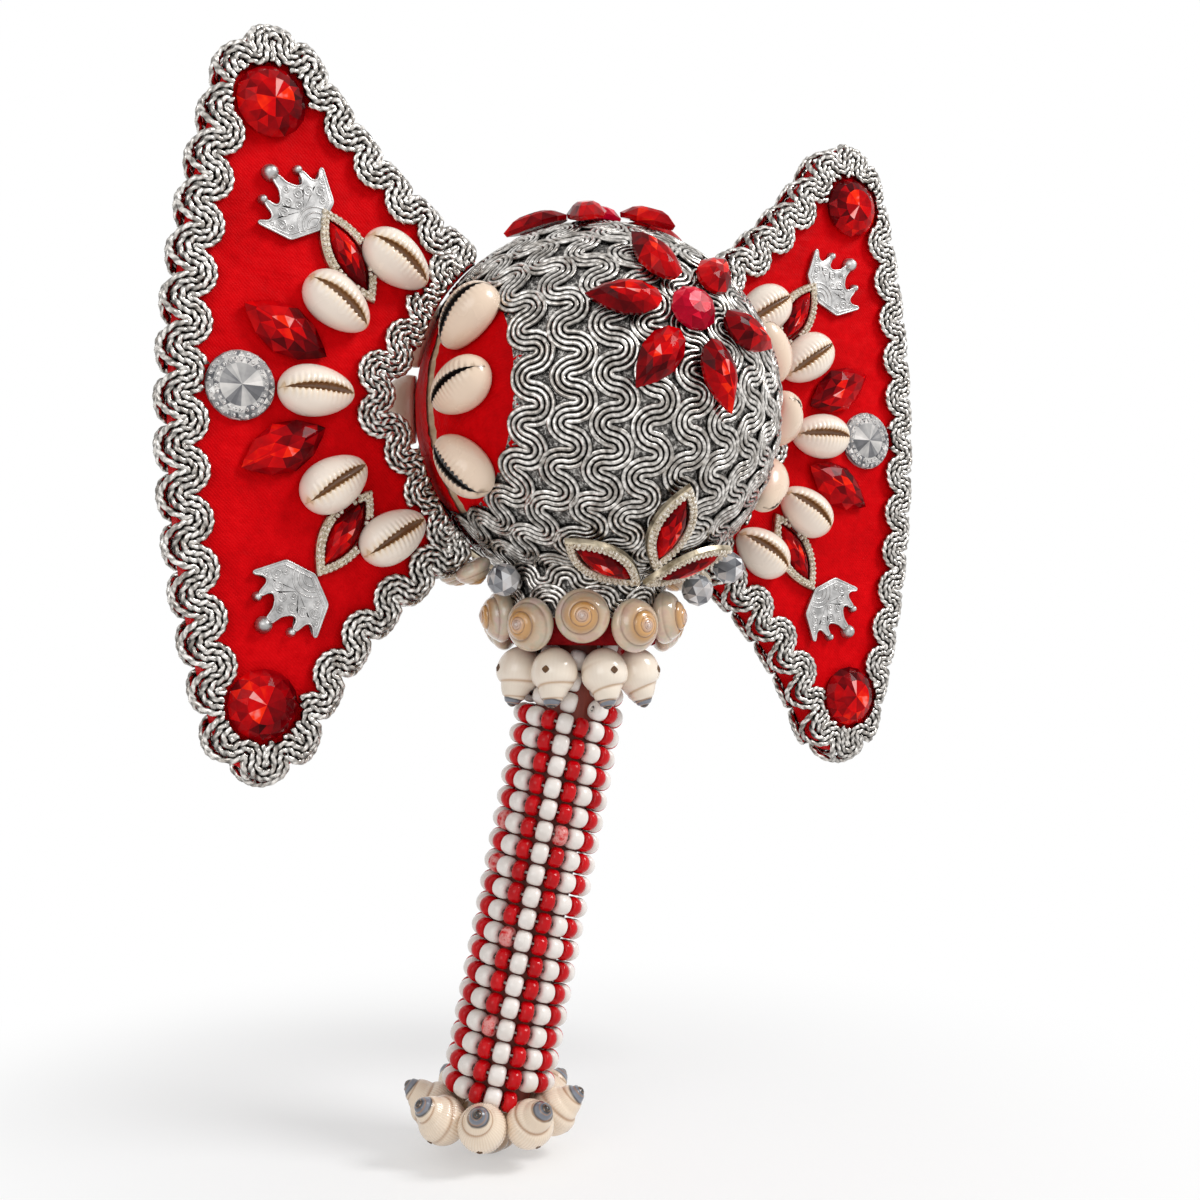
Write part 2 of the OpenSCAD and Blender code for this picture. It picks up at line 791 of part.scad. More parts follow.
// Moon snails round the end, apex out and up, and the one under the handle
module end_snails() {
  r = base_w / 2 + seat + snail_l / 2 * sin(end_snail_tilt) + 0.22 * snail_w * cos(end_snail_tilt);
  color("wheat")
    level_at(end_ring_s)
      ring_of(end_snail_count, r, 10)
        rotate([0, end_snail_tilt, 0])
          snail(snail_l, snail_w);
}

module base_shell() {
  color("sienna")
    on_handle()
      translate([0, 0, -stick_len - seat - base_l / 2])
        rotate([180, 0, 0])
          snail(base_l, base_w);
}

// Blades
module board_plate(t) {
  difference() {
    linear_extrude(t) polygon(board_outline());
    translate([0, blade_drop, -cut]) linear_extrude(t + 2 * cut) polygon(notch_outline());
  }
}

module seated(r = blade_seat_r) {
  difference() {
    children();
    gourd_ball(r);
  }
}

module board(side) {
  color("maroon")
    seated()
      on_blade(side, FRONT)
        translate([0, 0, -board_t / 2])
          board_plate(board_t);
}
module left_board() board(LEFT);
module right_board() board(RIGHT);

module blade_satin(side, face) {
  color("red")
    seated()
      on_blade(side, face)
        translate([0, 0, board_t / 2])
          board_plate(satin_t);
}
module left_satin_front() blade_satin(LEFT, FRONT);
module left_satin_back() blade_satin(LEFT, BACK);
module right_satin_front() blade_satin(RIGHT, FRONT);
module right_satin_back() blade_satin(RIGHT, BACK);

// Places of the ornaments on a face, in the upper and the lower half
module in_both_halves(place, turn, rise = 0) {
  for (half = [1, -1])
    translate([place[0], half * place[1] + rise, face_h])
      rotate([0, 0, half * turn])
        children();
}

module each_cowrie() {
  for (c = cowries_at)
    translate([c[0], c[1] + inner_rise, face_h])
      rotate([0, 0, c[2]])
        children();
}

// Wavy ribbon of trim round a face, cut out under the stones and cowries
module trim(side, face) {
  color("silver")
    seated()
      on_blade(side, face)
        difference() {
          translate([0, 0, face_h])
            linear_extrude(trim_t) {
              polygon(edge_strip(trim_half_w));
              difference() {
                translate([0, blade_drop])
                  polygon(strip_outline(hug_half(), hug_half(), trim_half_w));
                polygon(edge_strip(trim_half_w + seat));
              }
            }
          in_both_halves(gem_at, 0)
            translate([0, 0, -cut])
              cylinder(d = gem_d + 2 * seat, h = trim_t + 2 * cut);
          translate([rivoli_at[0], inner_rise, face_h - cut])
            cylinder(d = rivoli_d + 2 * seat, h = trim_t + 2 * cut);
          each_cowrie()
            translate([0, 0, -seat])
              cowrie_body(seat);
        }
}
module left_trim_front() trim(LEFT, FRONT);
module left_trim_back() trim(LEFT, BACK);
module right_trim_front() trim(RIGHT, FRONT);
module right_trim_back() trim(RIGHT, BACK);

module on_both_faces(side) {
  for (face = [FRONT, BACK])
    on_blade(side, face)
      children();
}

module gems(side) {
  color("red") on_both_faces(side) in_both_halves(gem_at, 0) round_stone(gem_d, gem_h);
}
module left_gems() gems(LEFT);
module right_gems() gems(RIGHT);

module crowns(side) {
  color("silver") on_both_faces(side) in_both_halves(crown_at, -45, crown_rise) crown_charm();
}
module left_crowns() crowns(LEFT);
module right_crowns() crowns(RIGHT);

module navettes(side) {
  color("darkred")
    on_both_faces(side)
      in_both_halves(navette_at, navette_turn, inner_rise)
        navette_stone(navette_l, navette_w, navette_h);
}
module left_navettes() navettes(LEFT);
module right_navettes() navettes(RIGHT);

module chain_stones(side) {
  color("red")
    on_both_faces(side)
      in_both_halves(slim_at, slim_turn, inner_rise)
        navette_stone(slim_l, slim_w, navette_h * 0.8);
}
module left_chain_stones() chain_stones(LEFT);
module right_chain_stones() chain_stones(RIGHT);

// Crystal borders, cut away where a cowrie lies over them
module chain_borders(side) {
  color("goldenrod")
    on_both_faces(side)
      difference() {
        in_both_halves(slim_at, slim_turn, inner_rise)
          crystal_border(slim_l, slim_w, navette_h * 0.45);
        each_cowrie()
          translate([0, 0, -seat])
            cowrie_body(seat);
      }
}
module left_chain_borders() chain_borders(LEFT);
module right_chain_borders() chain_borders(RIGHT);

module rivolis(side) {
  color("lightgray") on_both_faces(side) translate([rivoli_at[0], inner_rise, face_h]) rivoli_stone();
}
module left_rivolis() rivolis(LEFT);
module right_rivolis() rivolis(RIGHT);

module blade_cowries(side) {
  color("antiquewhite") on_both_faces(side) each_cowrie() cowrie();
}
module left_cowries() blade_cowries(LEFT);
module right_cowries() blade_cowries(RIGHT);

gourd_shell();
cap_satin_left_front();
cap_satin_left_back();
cap_satin_right_front();
cap_satin_right_back();
gourd_braid();
gourd_cowries();
flower_petals();
flower_centres();
leaf_stones();
leaf_borders();
seeds_front();
seeds_back();
seeds_left();
seeds_right();
handle_stick();
neck_collar();
top_shell_ring();
neck_snails();
side_shells();
crystal_beads();
bead_thread();
white_beads();
red_beads();
end_snails();
base_shell();
left_board();
right_board();
left_satin_front();
left_satin_back();
right_satin_front();
right_satin_back();
left_trim_front();
left_trim_back();
right_trim_front();
right_trim_back();
left_gems();
right_gems();
left_crowns();
right_crowns();
left_navettes();
right_navettes();
left_chain_stones();
right_chain_stones();
left_chain_borders();
right_chain_borders();
left_rivolis();
right_rivolis();
left_cowries();
right_cowries();
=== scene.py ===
import math

import bpy
import numpy as np
from mathutils import Matrix


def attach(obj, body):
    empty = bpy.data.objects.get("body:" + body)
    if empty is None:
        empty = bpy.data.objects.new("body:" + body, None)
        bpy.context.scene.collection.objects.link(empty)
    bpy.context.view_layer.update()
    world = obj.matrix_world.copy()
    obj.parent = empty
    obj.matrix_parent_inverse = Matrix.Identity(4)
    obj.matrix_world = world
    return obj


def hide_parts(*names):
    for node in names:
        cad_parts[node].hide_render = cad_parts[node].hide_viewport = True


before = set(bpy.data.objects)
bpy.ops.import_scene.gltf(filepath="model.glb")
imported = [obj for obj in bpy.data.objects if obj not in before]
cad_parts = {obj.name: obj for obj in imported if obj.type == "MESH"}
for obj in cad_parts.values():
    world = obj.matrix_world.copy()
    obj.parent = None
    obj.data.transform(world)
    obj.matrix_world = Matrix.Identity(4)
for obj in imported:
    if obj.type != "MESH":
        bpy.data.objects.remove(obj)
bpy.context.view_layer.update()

# Sizes in millimetres, the same as the solids' source
GOURD_R, GOURD_Z, SATIN_R, SEAT_R, SEAT = 50.5, 204.449, 51.25, 53.5, 0.3
BRAID_STEP, BRAID_RINGS = 11.7, 9
NECK_DROP, LEAN, STICK_L = 46.5, 11.7, 145
NECK_X = -18 * math.sin(math.radians(LEAN))
COLLAR_R, COLLAR_DROP = 20.5, NECK_DROP + 20
TOP_SHELLS, TOP_DROP, TOP_STAGGER = 10, NECK_DROP + 13.2, 1.2
BACK_Y, FACE_H, BLADE_DROP = 9.5, 4.1, 4.6
REACH, EDGE_R, TIP_R, TIP_V, ARM_A = 117.0, 290.0, 11.5, 83.0, 50.0
WAIST_R = {1: 155.0, -1: 110.0}
NOTCH_D, NOTCH_A = 8.6, 21.0
TRIM_INSET, TRIM_HALF_W, TRIM_SWING = 3.5, 3.8, 2.2
COWRIE_L, COWRIE_W, COWRIE_H = 20.5, 14.0, 9.0
GEM_D, GEM_H, RIVOLI_D = 18.4, 5.2, 18.0
NAVETTE_L, NAVETTE_W, NAVETTE_H = 25, 13.5, 4.4
SLIM_L, SLIM_W, SLIM_H = 20, 7, 3.5
PETAL_L, PETAL_W, FLOWER_MID_D = 20, 10.5, 13
TOP_H, SNAIL_L, SNAIL_W, BASE_L, BASE_W = 9.5, 17.0, 12.8, 16, 18
END_TILT, END_S = 52, STICK_L + 3
CRYSTAL_D, SIDE_D, SIDE_H, SIDE_U = 9.6, 10.6, 7, 37.4
NECK_SNAILS, NECK_SNAIL_R, NECK_SNAIL_A, NECK_TILT = 8, 18, 41, 14
BEADS_PER_TURN, TURNS, BEAD_PITCH, BEAD_D = 18, 17, 5.9, 5.6
WINDING_R, WINDING_START = 12.6, 38
WHITE_SHARE, RED_SHARE = 0.51, 0.40

# Sizes that only this script has: the trim's waves and how far inside the edge its middle runs
WAVE, RIBBON_IN = 12.4, 1.9

RIVOLI_U = REACH - 16
LEFT, RIGHT, FRONT, BACK = -1, 1, 1, -1
SIDES = {"left": LEFT, "right": RIGHT}
FACES = {"front": FRONT, "back": BACK}
UP = np.array([0.0, 0.0, 1.0])


def deg(a):
    return math.radians(a)


def at_angle(a):
    """Unit vectors of a plane at angles."""
    return np.stack([np.cos(a), np.sin(a)], -1)


def angles(n, shift=0.0):
    """Angles of n points round a circle."""
    return 2 * np.pi * (np.arange(n) + shift) / n


def heading(v):
    return math.atan2(v[1], v[0])


def unit(v):
    return v / np.linalg.norm(v, axis=-1, keepdims=True)


def at_height(p, z):
    """Points of a plane, lifted to a height."""
    return np.column_stack([p, np.broadcast_to(z, len(p))])


def along(p):
    """Length along a line up to each of its points."""
    return np.concatenate([[0], np.cumsum(np.linalg.norm(np.diff(p, axis=0), axis=1))])


def between(s, d, p):
    """Values at lengths s, where p holds those at lengths d."""
    return np.stack([np.interp(s, d, q) for q in p.T], 1)


def resample(p, step):
    """Points at even steps along a line, and their lengths."""
    d = along(p)
    s = np.linspace(0, d[-1], max(2, int(round(d[-1] / step)) + 1))
    return between(s, d, p), s


def close(p):
    return np.concatenate([p, p[:1]])


def chords(p):
    """From the point before each one to the point after it, round a closed line."""
    return np.roll(p, -1, 0) - np.roll(p, 1, 0)


def left_of(t):
    """Unit vectors to the left of directions in a plane."""
    return unit(np.stack([-t[:, 1], t[:, 0]], 1))


def circle_meet(a, ra, b, rb):
    v = b - a
    d = np.linalg.norm(v)
    x = (ra * ra - rb * rb + d * d) / (2 * d)
    h = math.sqrt(max(0, ra * ra - x * x))
    return a + x * v / d - h * np.array([-v[1], v[0]]) / d


EDGE_C = np.array([REACH - EDGE_R, 0.0])
TIP_A = math.asin(TIP_V / (EDGE_R - TIP_R))
TIP_C = EDGE_C + (EDGE_R - TIP_R) * at_angle(TIP_A)


class Half:
    """Hollow edge of a blade's upper half, 1, or of its lower half turned up, -1."""

    def __init__(self, half):
        self.r = WAIST_R[half]
        arm = (SEAT_R - 5) * at_angle(deg(ARM_A)) + [0, half * BLADE_DROP]
        self.c = circle_meet(TIP_C, self.r + TIP_R, arm, self.r)
        self.tip_a = heading(self.c - TIP_C)
        self.a0 = heading(TIP_C - self.c)
        self.a1 = heading(arm - self.c)


HALVES = {1: Half(1), -1: Half(-1)}

# Places of the ornaments: distance out from the gourd's middle, height, and turn in degrees
INNER_RISE, CROWN_RISE = BLADE_DROP - 0.8, BLADE_DROP - 3.5
GEM_AT = (TIP_C[0] + 1.3, TIP_V - 5.5)
NAVETTE_AT, NAVETTE_TURN = (RIVOLI_U - 11.5, 15.2), 28
SLIM_AT, SLIM_TURN = (RIVOLI_U - 28.2, 36.6), 58
CROWN_AT = (REACH - 29.4, SLIM_AT[1] + 15.3)
COWRIES_AT = [
    (RIVOLI_U - RIVOLI_D / 2 - COWRIE_L / 2 - SEAT, INNER_RISE, 0.0),
    (RIVOLI_U - 24.9, INNER_RISE + 23.7, 35.0),
    (RIVOLI_U - 24.9, INNER_RISE - 23.7, -35.0),
    (RIVOLI_U - 41.3, INNER_RISE + 37.0, 33.0),
    (RIVOLI_U - 41.3, INNER_RISE - 37.0, -33.0),
]

# On the gourd: azimuth, elevation, turn, and the cowrie's slit
GOURD_COWRIES = [
    (70.5, 20.5, 52, 1.7), (69.5, 0, 26, 1.1), (72.5, -21.5, -47, 1.75),
    (120, 23.5, 90, 1.1), (120, 0, 90, 1.1), (120, -23.5, 90, 1.1),
]
FLOWERS = ((0, 21.5), (180, 21.5), (0, 90))
LEAVES = ((0, -41, 90), (-25, -55, 140), (25, -55, 40))
CRYSTAL_BEADS = ((-80, -57), (64, -60), (66, -49))


# Placing, with 4 by 4 matrices in millimetres
def move(x, y, z):
    m = np.eye(4)
    m[:3, 3] = (x, y, z)
    return m


def turn(axis, a):
    return np.array(Matrix.Rotation(deg(a), 4, axis))


def on_gourd(az, el, r, spin=0):
    return move(0, 0, GOURD_Z) @ turn("Z", az) @ turn("X", 90 - el) @ move(0, 0, r) @ turn("Z", spin)


def on_blade(side, face):
    flip = np.diag([side, face, 1, 1]).astype(float)
    return move(0, BACK_Y, GOURD_Z - BLADE_DROP) @ flip @ turn("X", 90)


def on_handle():
    return move(0, 0, GOURD_Z - NECK_DROP) @ turn("Y", LEAN)


def at_neck(drop):
    return move(NECK_X, 0, GOURD_Z - drop)


def round_neck(a, r, low):
    """Points round the neck at angles and radii."""
    return put(at_neck(low), at_height(at_angle(a) * r, 0))


def level_at(s):
    return move(-s * math.sin(deg(LEAN)), 0, GOURD_Z - NECK_DROP - s * math.cos(deg(LEAN)))


def halves(at, spin, rise=0.0):
    for s in (1, -1):
        yield move(at[0], s * at[1] + rise, FACE_H) @ turn("Z", s * spin)


def put(m, v):
    return v @ m[:3, :3].T + m[:3, 3]


def blade_faces():
    for sname, side in SIDES.items():
        for fname, face in FACES.items():
            yield sname, side, fname, face


class Build:
    """Gathers vertices and faces, with a tint and a line for each vertex and a tone for each face."""

    def __init__(self):
        self.v, self.tint, self.line, self.f, self.tone, self.mat, self.n = [], [], [], [], [], [], 0

    def add(self, v, faces, tint=0.5, tone=0.5, mat=0, place=None, line=1.0):
        v = np.asarray(v, float)
        flip = False
        if place is not None:
            flip = np.linalg.det(place[:3, :3]) < 0
            v = put(place, v)
        self.v.append(v)
        self.tint.append(np.broadcast_to(np.asarray(tint, float), (len(v),)))
        self.line.append(np.broadcast_to(np.asarray(line, float), (len(v),)))
        for f in [faces] if isinstance(faces, np.ndarray) else faces:
            f = np.asarray(f, int) + self.n
            self.f.append(f[:, ::-1] if flip else f)
            t = np.asarray(tone, float)
            self.tone.append(np.broadcast_to(t if t.ndim == 0 else t[: len(f)], (len(f),)))
            self.mat.append(np.full(len(f), mat))
            if t.ndim:
                tone = t[len(f):]
        self.n += len(v)

    def piece(self, node, form, mats, slot, smooth=True):
        """Makes the piece that stands for a node, with materials by name."""
        name = f"{node}_{form}"
        v = np.concatenate(self.v) * 0.001
        me = bpy.data.meshes.new(name)
        me.vertices.add(len(v))
        me.vertices.foreach_set("co", v.astype(np.float32).ravel())
        counts = np.concatenate([np.full(len(f), f.shape[1]) for f in self.f])
        loops = np.concatenate([f.ravel() for f in self.f])
        me.loops.add(len(loops))
        me.loops.foreach_set("vertex_index", loops.astype(np.int32))
        me.polygons.add(len(counts))
        starts = np.concatenate([[0], np.cumsum(counts)[:-1]])
        me.polygons.foreach_set("loop_start", starts.astype(np.int32))
        me.polygons.foreach_set("material_index", np.concatenate(self.mat).astype(np.int32))
        me.update(calc_edges=True)
        for key, domain in (("tint", "POINT"), ("line", "POINT"), ("tone", "FACE")):
            values = np.concatenate(getattr(self, key)).astype(np.float32)
            me.attributes.new(key, "FLOAT", domain).data.foreach_set("value", values)
        for mat in mats:
            me.materials.append(MATS[mat])
        me.polygons.foreach_set("use_smooth", np.full(len(counts), smooth))
        o = bpy.data.objects.new(name, me)
        bpy.context.scene.collection.objects.link(o)
        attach(o, "maraca")
        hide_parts(node)
        return o


def dress_blades(kind, form, mats, slot, dress, smooth=True):
    """One piece for each blade: dress adds what one face carries."""
    for sname, side in SIDES.items():
        b = Build()
        for face in FACES.values():
            dress(b, side, face, on_blade(side, face))
        b.piece(f"{sname}_{kind}", form, mats, slot, smooth)


def ring_faces(rows, k, closed=True, loop=False):
    """Quads between successive rings of k points."""
    i = np.arange(rows if loop else rows - 1)[:, None]
    j = np.arange(k if closed else k - 1)[None, :]
    a = i * k + j
    b = i * k + (j + 1) % k
    i2 = (i + 1) % rows
    return np.stack([a, b, i2 * k + (j + 1) % k, i2 * k + j], -1).reshape(-1, 4)


def fan(ring, middle, back=False):
    """Triangles from a ring to a middle point."""
    nxt = np.roll(ring, -1)
    mid = np.full(len(ring), middle)
    return np.stack([nxt, ring, mid] if back else [ring, nxt, mid], 1)


def end_fans(rows, k):
    """Triangles that close the first and the last of rings of k points."""
    end = rows * k
    return fan(np.arange(k), end), fan(np.arange(k) + end - k, end + 1, True)


def tube(points, up, section, tint, angle=None, closed=False):
    """A strand along points: section is (side, up) pairs, up the surface's normal at each point."""
    n, k = len(points), len(section)
    if closed:
        t = unit(chords(points))
    else:
        t = unit(np.gradient(points, axis=0))
    side = unit(np.cross(t, up))
    up = np.cross(side, t)
    s = np.broadcast_to(section, (n, k, 2))
    if angle is not None:
        c, d = np.cos(angle)[:, None], np.sin(angle)[:, None]
        s = np.stack([s[..., 0] * c - s[..., 1] * d, s[..., 0] * d + s[..., 1] * c], -1)
    v = (points[:, None] + side[:, None] * s[..., :1] + up[:, None] * s[..., 1:]).reshape(-1, 3)
    tints = np.tile(tint, n)
    quads = ring_faces(n, k, loop=closed)[:, ::-1]
    if closed:
        return v, [quads], tints
    v = np.concatenate([v, points[:1], points[-1:]])
    return v, [quads, *end_fans(n, k)], np.concatenate([tints, [0.5, 0.5]])


def runs(mask):
    """Stretches of successive True values, as slices."""
    edges = np.flatnonzero(np.diff(np.concatenate([[0], mask.astype(int), [0]])))
    return [slice(a, b) for a, b in zip(edges[::2], edges[1::2]) if b - a > 5]


def meander(swing, round_share, n=240):
    """One wave of a ribbon: share along the wave, and offset from +1 to -1 and back."""
    s = (np.arange(n) + 0.5) / n
    saw = 1 - np.abs((4 * s - 1) % 4 - 2)
    a = swing * ((1 - round_share) * -np.sin(2 * np.pi * s) + round_share * saw)
    x, y = (np.concatenate([[0], np.cumsum(q)]) for q in (np.cos(a), np.sin(a)))
    return x[:-1] / x[-1], 1 + 2 * (y[:-1] - y.max()) / (y.max() - y.min())


MATS = {}


class Nodes:
    """Makes and links the nodes of one tree."""

    def __init__(self, tree):
        self.nodes, self.links = tree.nodes, tree.links

    def node(self, kind, **values):
        n = self.nodes.new("ShaderNode" + kind)
        for key, value in values.items():
            if hasattr(n, key):
                setattr(n, key, value)
            else:
                n.inputs[key.replace("_", " ")].default_value = value
        return n

    def link(self, a, b):
        self.links.new(a, b)

    def math(self, op, a, b=None, clamp=False):
        n = self.node("Math", operation=op, use_clamp=clamp)
        for i, x in enumerate((a, b)):
            if isinstance(x, (int, float)):
                n.inputs[i].default_value = x
            elif x is not None:
                self.link(x, n.inputs[i])
        return n.outputs[0]

    def seen(self):
        """1 for rays of the camera and for those that metal and glass send on."""
        ray = self.node("LightPath").outputs
        sent = self.math("MAXIMUM", ray["Is Glossy Ray"], ray["Is Transmission Ray"])
        return self.math("MAXIMUM", ray["Is Camera Ray"], sent)


class Mat(Nodes):
    """A material of nodes round one Principled shader; stops are position, red, green and blue."""

    def __init__(self, name, **values):
        self.m = bpy.data.materials.new(name)
        self.m.use_nodes = True
        MATS[name] = self.m
        super().__init__(self.m.node_tree)
        self.p = self.nodes["Principled BSDF"]
        for key, value in values.items():
            self.p.inputs[key.replace("_", " ")].default_value = value

    def coords(self):
        return self.node("TexCoord").outputs["Object"]

    def noise(self, scale, detail=3.0, rough=0.55, stretch=None):
        n = self.node("TexNoise", Scale=scale, Detail=detail, Roughness=rough)
        c = self.coords()
        if stretch:
            m = self.node("Mapping", Scale=stretch)
            self.link(c, m.inputs["Vector"])
            c = m.outputs["Vector"]
        self.link(c, n.inputs["Vector"])
        return n.outputs["Fac"]

    def attr(self, name):
        return self.node("Attribute", attribute_name=name).outputs["Fac"]

    def varied(self, name, n, amount):
        """An attribute, made uneven by noise."""
        uneven = self.math("MULTIPLY", self.math("SUBTRACT", n, 0.5), amount)
        return self.math("ADD", self.attr(name), uneven, True)

    def ramp(self, fac, stops):
        r = self.node("ValToRGB")
        e = r.color_ramp.elements
        while len(e) < len(stops):
            e.new(0.5)
        for el, (pos, *col) in zip(e, stops):
            el.position = pos
            el.color = (*col, 1)
        self.link(fac, r.inputs["Fac"])
        return r.outputs["Color"]

    def mix(self, fac, a, b, mode="MIX"):
        n = self.node("Mix", data_type="RGBA", blend_type=mode)
        for key, kind, x in (("Factor", "VALUE", fac), ("A", "RGBA", a), ("B", "RGBA", b)):
            s = [i for i in n.inputs if i.name == key and i.type == kind][0]
            if isinstance(x, (int, float)):
                s.default_value = x
            elif isinstance(x, tuple):
                s.default_value = (*x, 1)
            else:
                self.link(x, s)
        return [o for o in n.outputs if o.type == "RGBA"][0]

    def colour(self, c):
        self.link(c, self.p.inputs["Base Color"])

    def rough(self, fac, low, high):
        n = self.node("MapRange", To_Min=low, To_Max=high)
        self.link(fac, n.inputs["Value"])
        self.link(n.outputs["Result"], self.p.inputs["Roughness"])

    def bump(self, *heights):
        normal = None
        for h, strength, distance in heights:
            b = self.node("Bump", Strength=strength, Distance=distance * 0.001)
            self.link(h, b.inputs["Height"])
            if normal:
                self.link(normal, b.inputs["Normal"])
            normal = b.outputs["Normal"]
        self.link(normal, self.p.inputs["Normal"])


# Materials
def silver_strand(name, stops, grain):
    m = Mat(name, Metallic=1.0)
    # The tint attribute is painted light: low for painted shade where strands touch, high for a painted
    # highlight on their tops
    base = m.ramp(m.attr("tint"), [(t, c, c * 0.96, c * 0.91) for t, c in stops])
    n, wide = m.noise(grain, 2), m.noise(grain * 0.35, 2)
    fleck = m.mix(1.0, m.ramp(n, [(0.34, 0.55, 0.54, 0.53), (0.58, 1, 1, 1)]),
                  m.ramp(wide, [(0.36, 0.5, 0.48, 0.46), (0.56, 1, 1, 1)]), "MULTIPLY")
    m.colour(m.mix(1.0, base, fleck, "MULTIPLY"))
    m.rough(n, 0.16, 0.36)
    m.bump((m.noise(grain * 3, 2), 0.3, 0.1))


def satin(name, base, dark):
    m = Mat(name, Specular_IOR_Level=0.03)
    wide, fine = m.noise(55, 4), m.noise(420, 5, 0.65)
    crease = m.noise(130, 3, 0.6, (1.0, 1.0, 3.5))
    tone = m.math("ADD", m.math("MULTIPLY", wide, 0.6), m.math("MULTIPLY", fine, 0.4))
    light = [min(1, c * 1.25 + 0.002) for c in base]
    m.colour(m.ramp(tone, [(0.3, *dark), (0.5, *base), (0.7, *light)]))
    m.rough(fine, 0.4, 0.62)
    weave = m.node("TexWave", wave_type="BANDS", bands_direction="DIAGONAL", Scale=620,
                   Distortion=2.5, Detail=2)
    m.link(m.coords(), weave.inputs["Vector"])
    m.bump((crease, 0.35, 1.0), (fine, 0.35, 0.3), (weave.outputs["Fac"], 0.4, 0.14))


def stone(name, stops, specular=0.06):
    m = Mat(name, Specular_IOR_Level=specular)
    n = m.noise(240, 2)
    # Each facet's tone is painted light: the lit, shaded and reflecting facets of cut glass, set as colours
    m.colour(m.ramp(m.varied("tone", n, 0.5), stops))
    m.rough(n, 0.03, 0.1)


def bed():
    m = Mat("braid_bed", Metallic=0.9)
    n = m.noise(900, 4, 0.7)
    # Mostly dark: painted shade in the gaps between the strands, with lighter metal flecks
    m.colour(m.ramp(n, [(0.36, 0.02, 0.019, 0.018), (0.5, 0.16, 0.15, 0.14), (0.62, 0.72, 0.69, 0.65)]))
    m.rough(n, 0.25, 0.5)
    m.bump((n, 0.9, 0.6))


def metal(name, dark, light, rough):
    m = Mat(name, Metallic=1.0)
    n = m.noise(260, 4, 0.65)
    m.colour(m.ramp(n, [(0.35, *dark), (0.65, *light)]))
    m.rough(n, rough, rough + 0.2)
    m.bump((m.noise(700, 3), 0.2, 0.1))


def porcelain(name, stops):
    """Cowrie, its tint running from the slit, 0, to the back, 1."""
    m = Mat(name, Coat_Weight=0.35, Coat_Roughness=0.12, Specular_IOR_Level=0.5)
    n = m.noise(120, 3)
    m.colour(m.ramp(m.varied("tint", n, 0.14), stops))
    m.rough(n, 0.2, 0.34)
    m.bump((m.noise(500, 2), 0.08, 0.15))


def shell(name, suture, coat, stops, ribs=0.0, pearl=0.0):
    """Shell, its tint running from the apex, 0, to the base, 1, with a dark suture and growth lines."""
    m = Mat(name, Coat_Weight=coat, Coat_Roughness=0.08, Specular_IOR_Level=0.5)
    n = m.noise(160, 3)
    base = m.ramp(m.varied("tint", n, 0.05), stops)
    if pearl:
        sheen = m.ramp(m.noise(210, 2, 0.5), [(0.36, 0.60, 0.40, 0.36), (0.46, 0.72, 0.57, 0.42),
                                              (0.56, 0.50, 0.54, 0.42), (0.66, 0.70, 0.52, 0.54)])
        outer = m.ramp(m.attr("tint"), [(0.26, 0, 0, 0), (0.36, pearl, pearl, pearl)])
        base = m.mix(outer, base, sheen)
    grain = m.math("SINE", m.math("MULTIPLY", m.attr("tone"), 6.2832))
    base = m.mix(m.attr("line"), suture, base)
    shade = m.ramp(m.math("MULTIPLY_ADD", grain, 0.5), [(0.0, 0.88, 0.83, 0.77), (1.0, 1, 1, 1)])
    m.colour(m.mix(0.12 + 0.5 * ribs, base, shade, "MULTIPLY"))
    m.rough(n, 0.14, 0.3)
    m.bump((n, 0.1, 0.3))


def grained(name, stops, scale, rough, bump, stretch=None, **values):
    m = Mat(name, **values)
    n = m.noise(scale, 4, 0.6, stretch)
    m.colour(m.ramp(n, stops))
    m.rough(n, *rough)
    m.bump((n, bump, 0.4))


# Stops run from the darkest painted shade to the brightest painted highlight of the strands
silver_strand("silver_rope", [(0.0, 0.03), (0.3, 0.18), (0.55, 0.55), (0.85, 0.95)], 900)
silver_strand("silver_wire", [(0.0, 0.02), (0.3, 0.15), (0.6, 0.52), (0.9, 0.94)], 800)
satin("red_satin", (0.60, 0.0008, 0.003), (0.44, 0.0004, 0.002))
# A darker copy of the red satin for the collar: painted shade
satin("collar_satin_painted_shade", (0.20, 0.004, 0.006), (0.11, 0.002, 0.003))
# Stops run from a stone's darkest painted facet to its palest, which is a painted reflection
stone("red_stone", [
    (0.0, 0.03, 0.0, 0.001), (0.25, 0.12, 0.0003, 0.002), (0.5, 0.34, 0.0006, 0.003),
    (0.75, 0.68, 0.002, 0.003), (0.9, 0.92, 0.03, 0.004), (1.0, 0.84, 0.34, 0.32)])
stone("pink_stone", [
    (0.0, 0.16, 0.0, 0.006), (0.4, 0.46, 0.001, 0.02), (0.7, 0.74, 0.008, 0.035),
    (1.0, 0.85, 0.20, 0.26)])
stone("clear_stone", [
    (0.0, 0.05, 0.05, 0.055), (0.3, 0.17, 0.17, 0.18), (0.55, 0.44, 0.43, 0.42),
    (0.8, 0.74, 0.71, 0.68), (1.0, 0.97, 0.96, 0.94)], 0.4)
stone("chain_crystal", [
    (0.0, 0.17, 0.12, 0.07), (0.45, 0.54, 0.44, 0.31), (1.0, 0.97, 0.93, 0.86)], 0.4)
stone("crystal_bead", [
    (0.0, 0.06, 0.06, 0.07), (0.45, 0.34, 0.35, 0.37), (0.7, 0.62, 0.58, 0.56),
    (1.0, 0.9, 0.92, 0.95)])
bed()
metal("silver_charm", (0.34, 0.335, 0.33), (0.66, 0.65, 0.64), 0.3)
metal("stone_setting", (0.26, 0.21, 0.14), (0.70, 0.61, 0.46), 0.25)
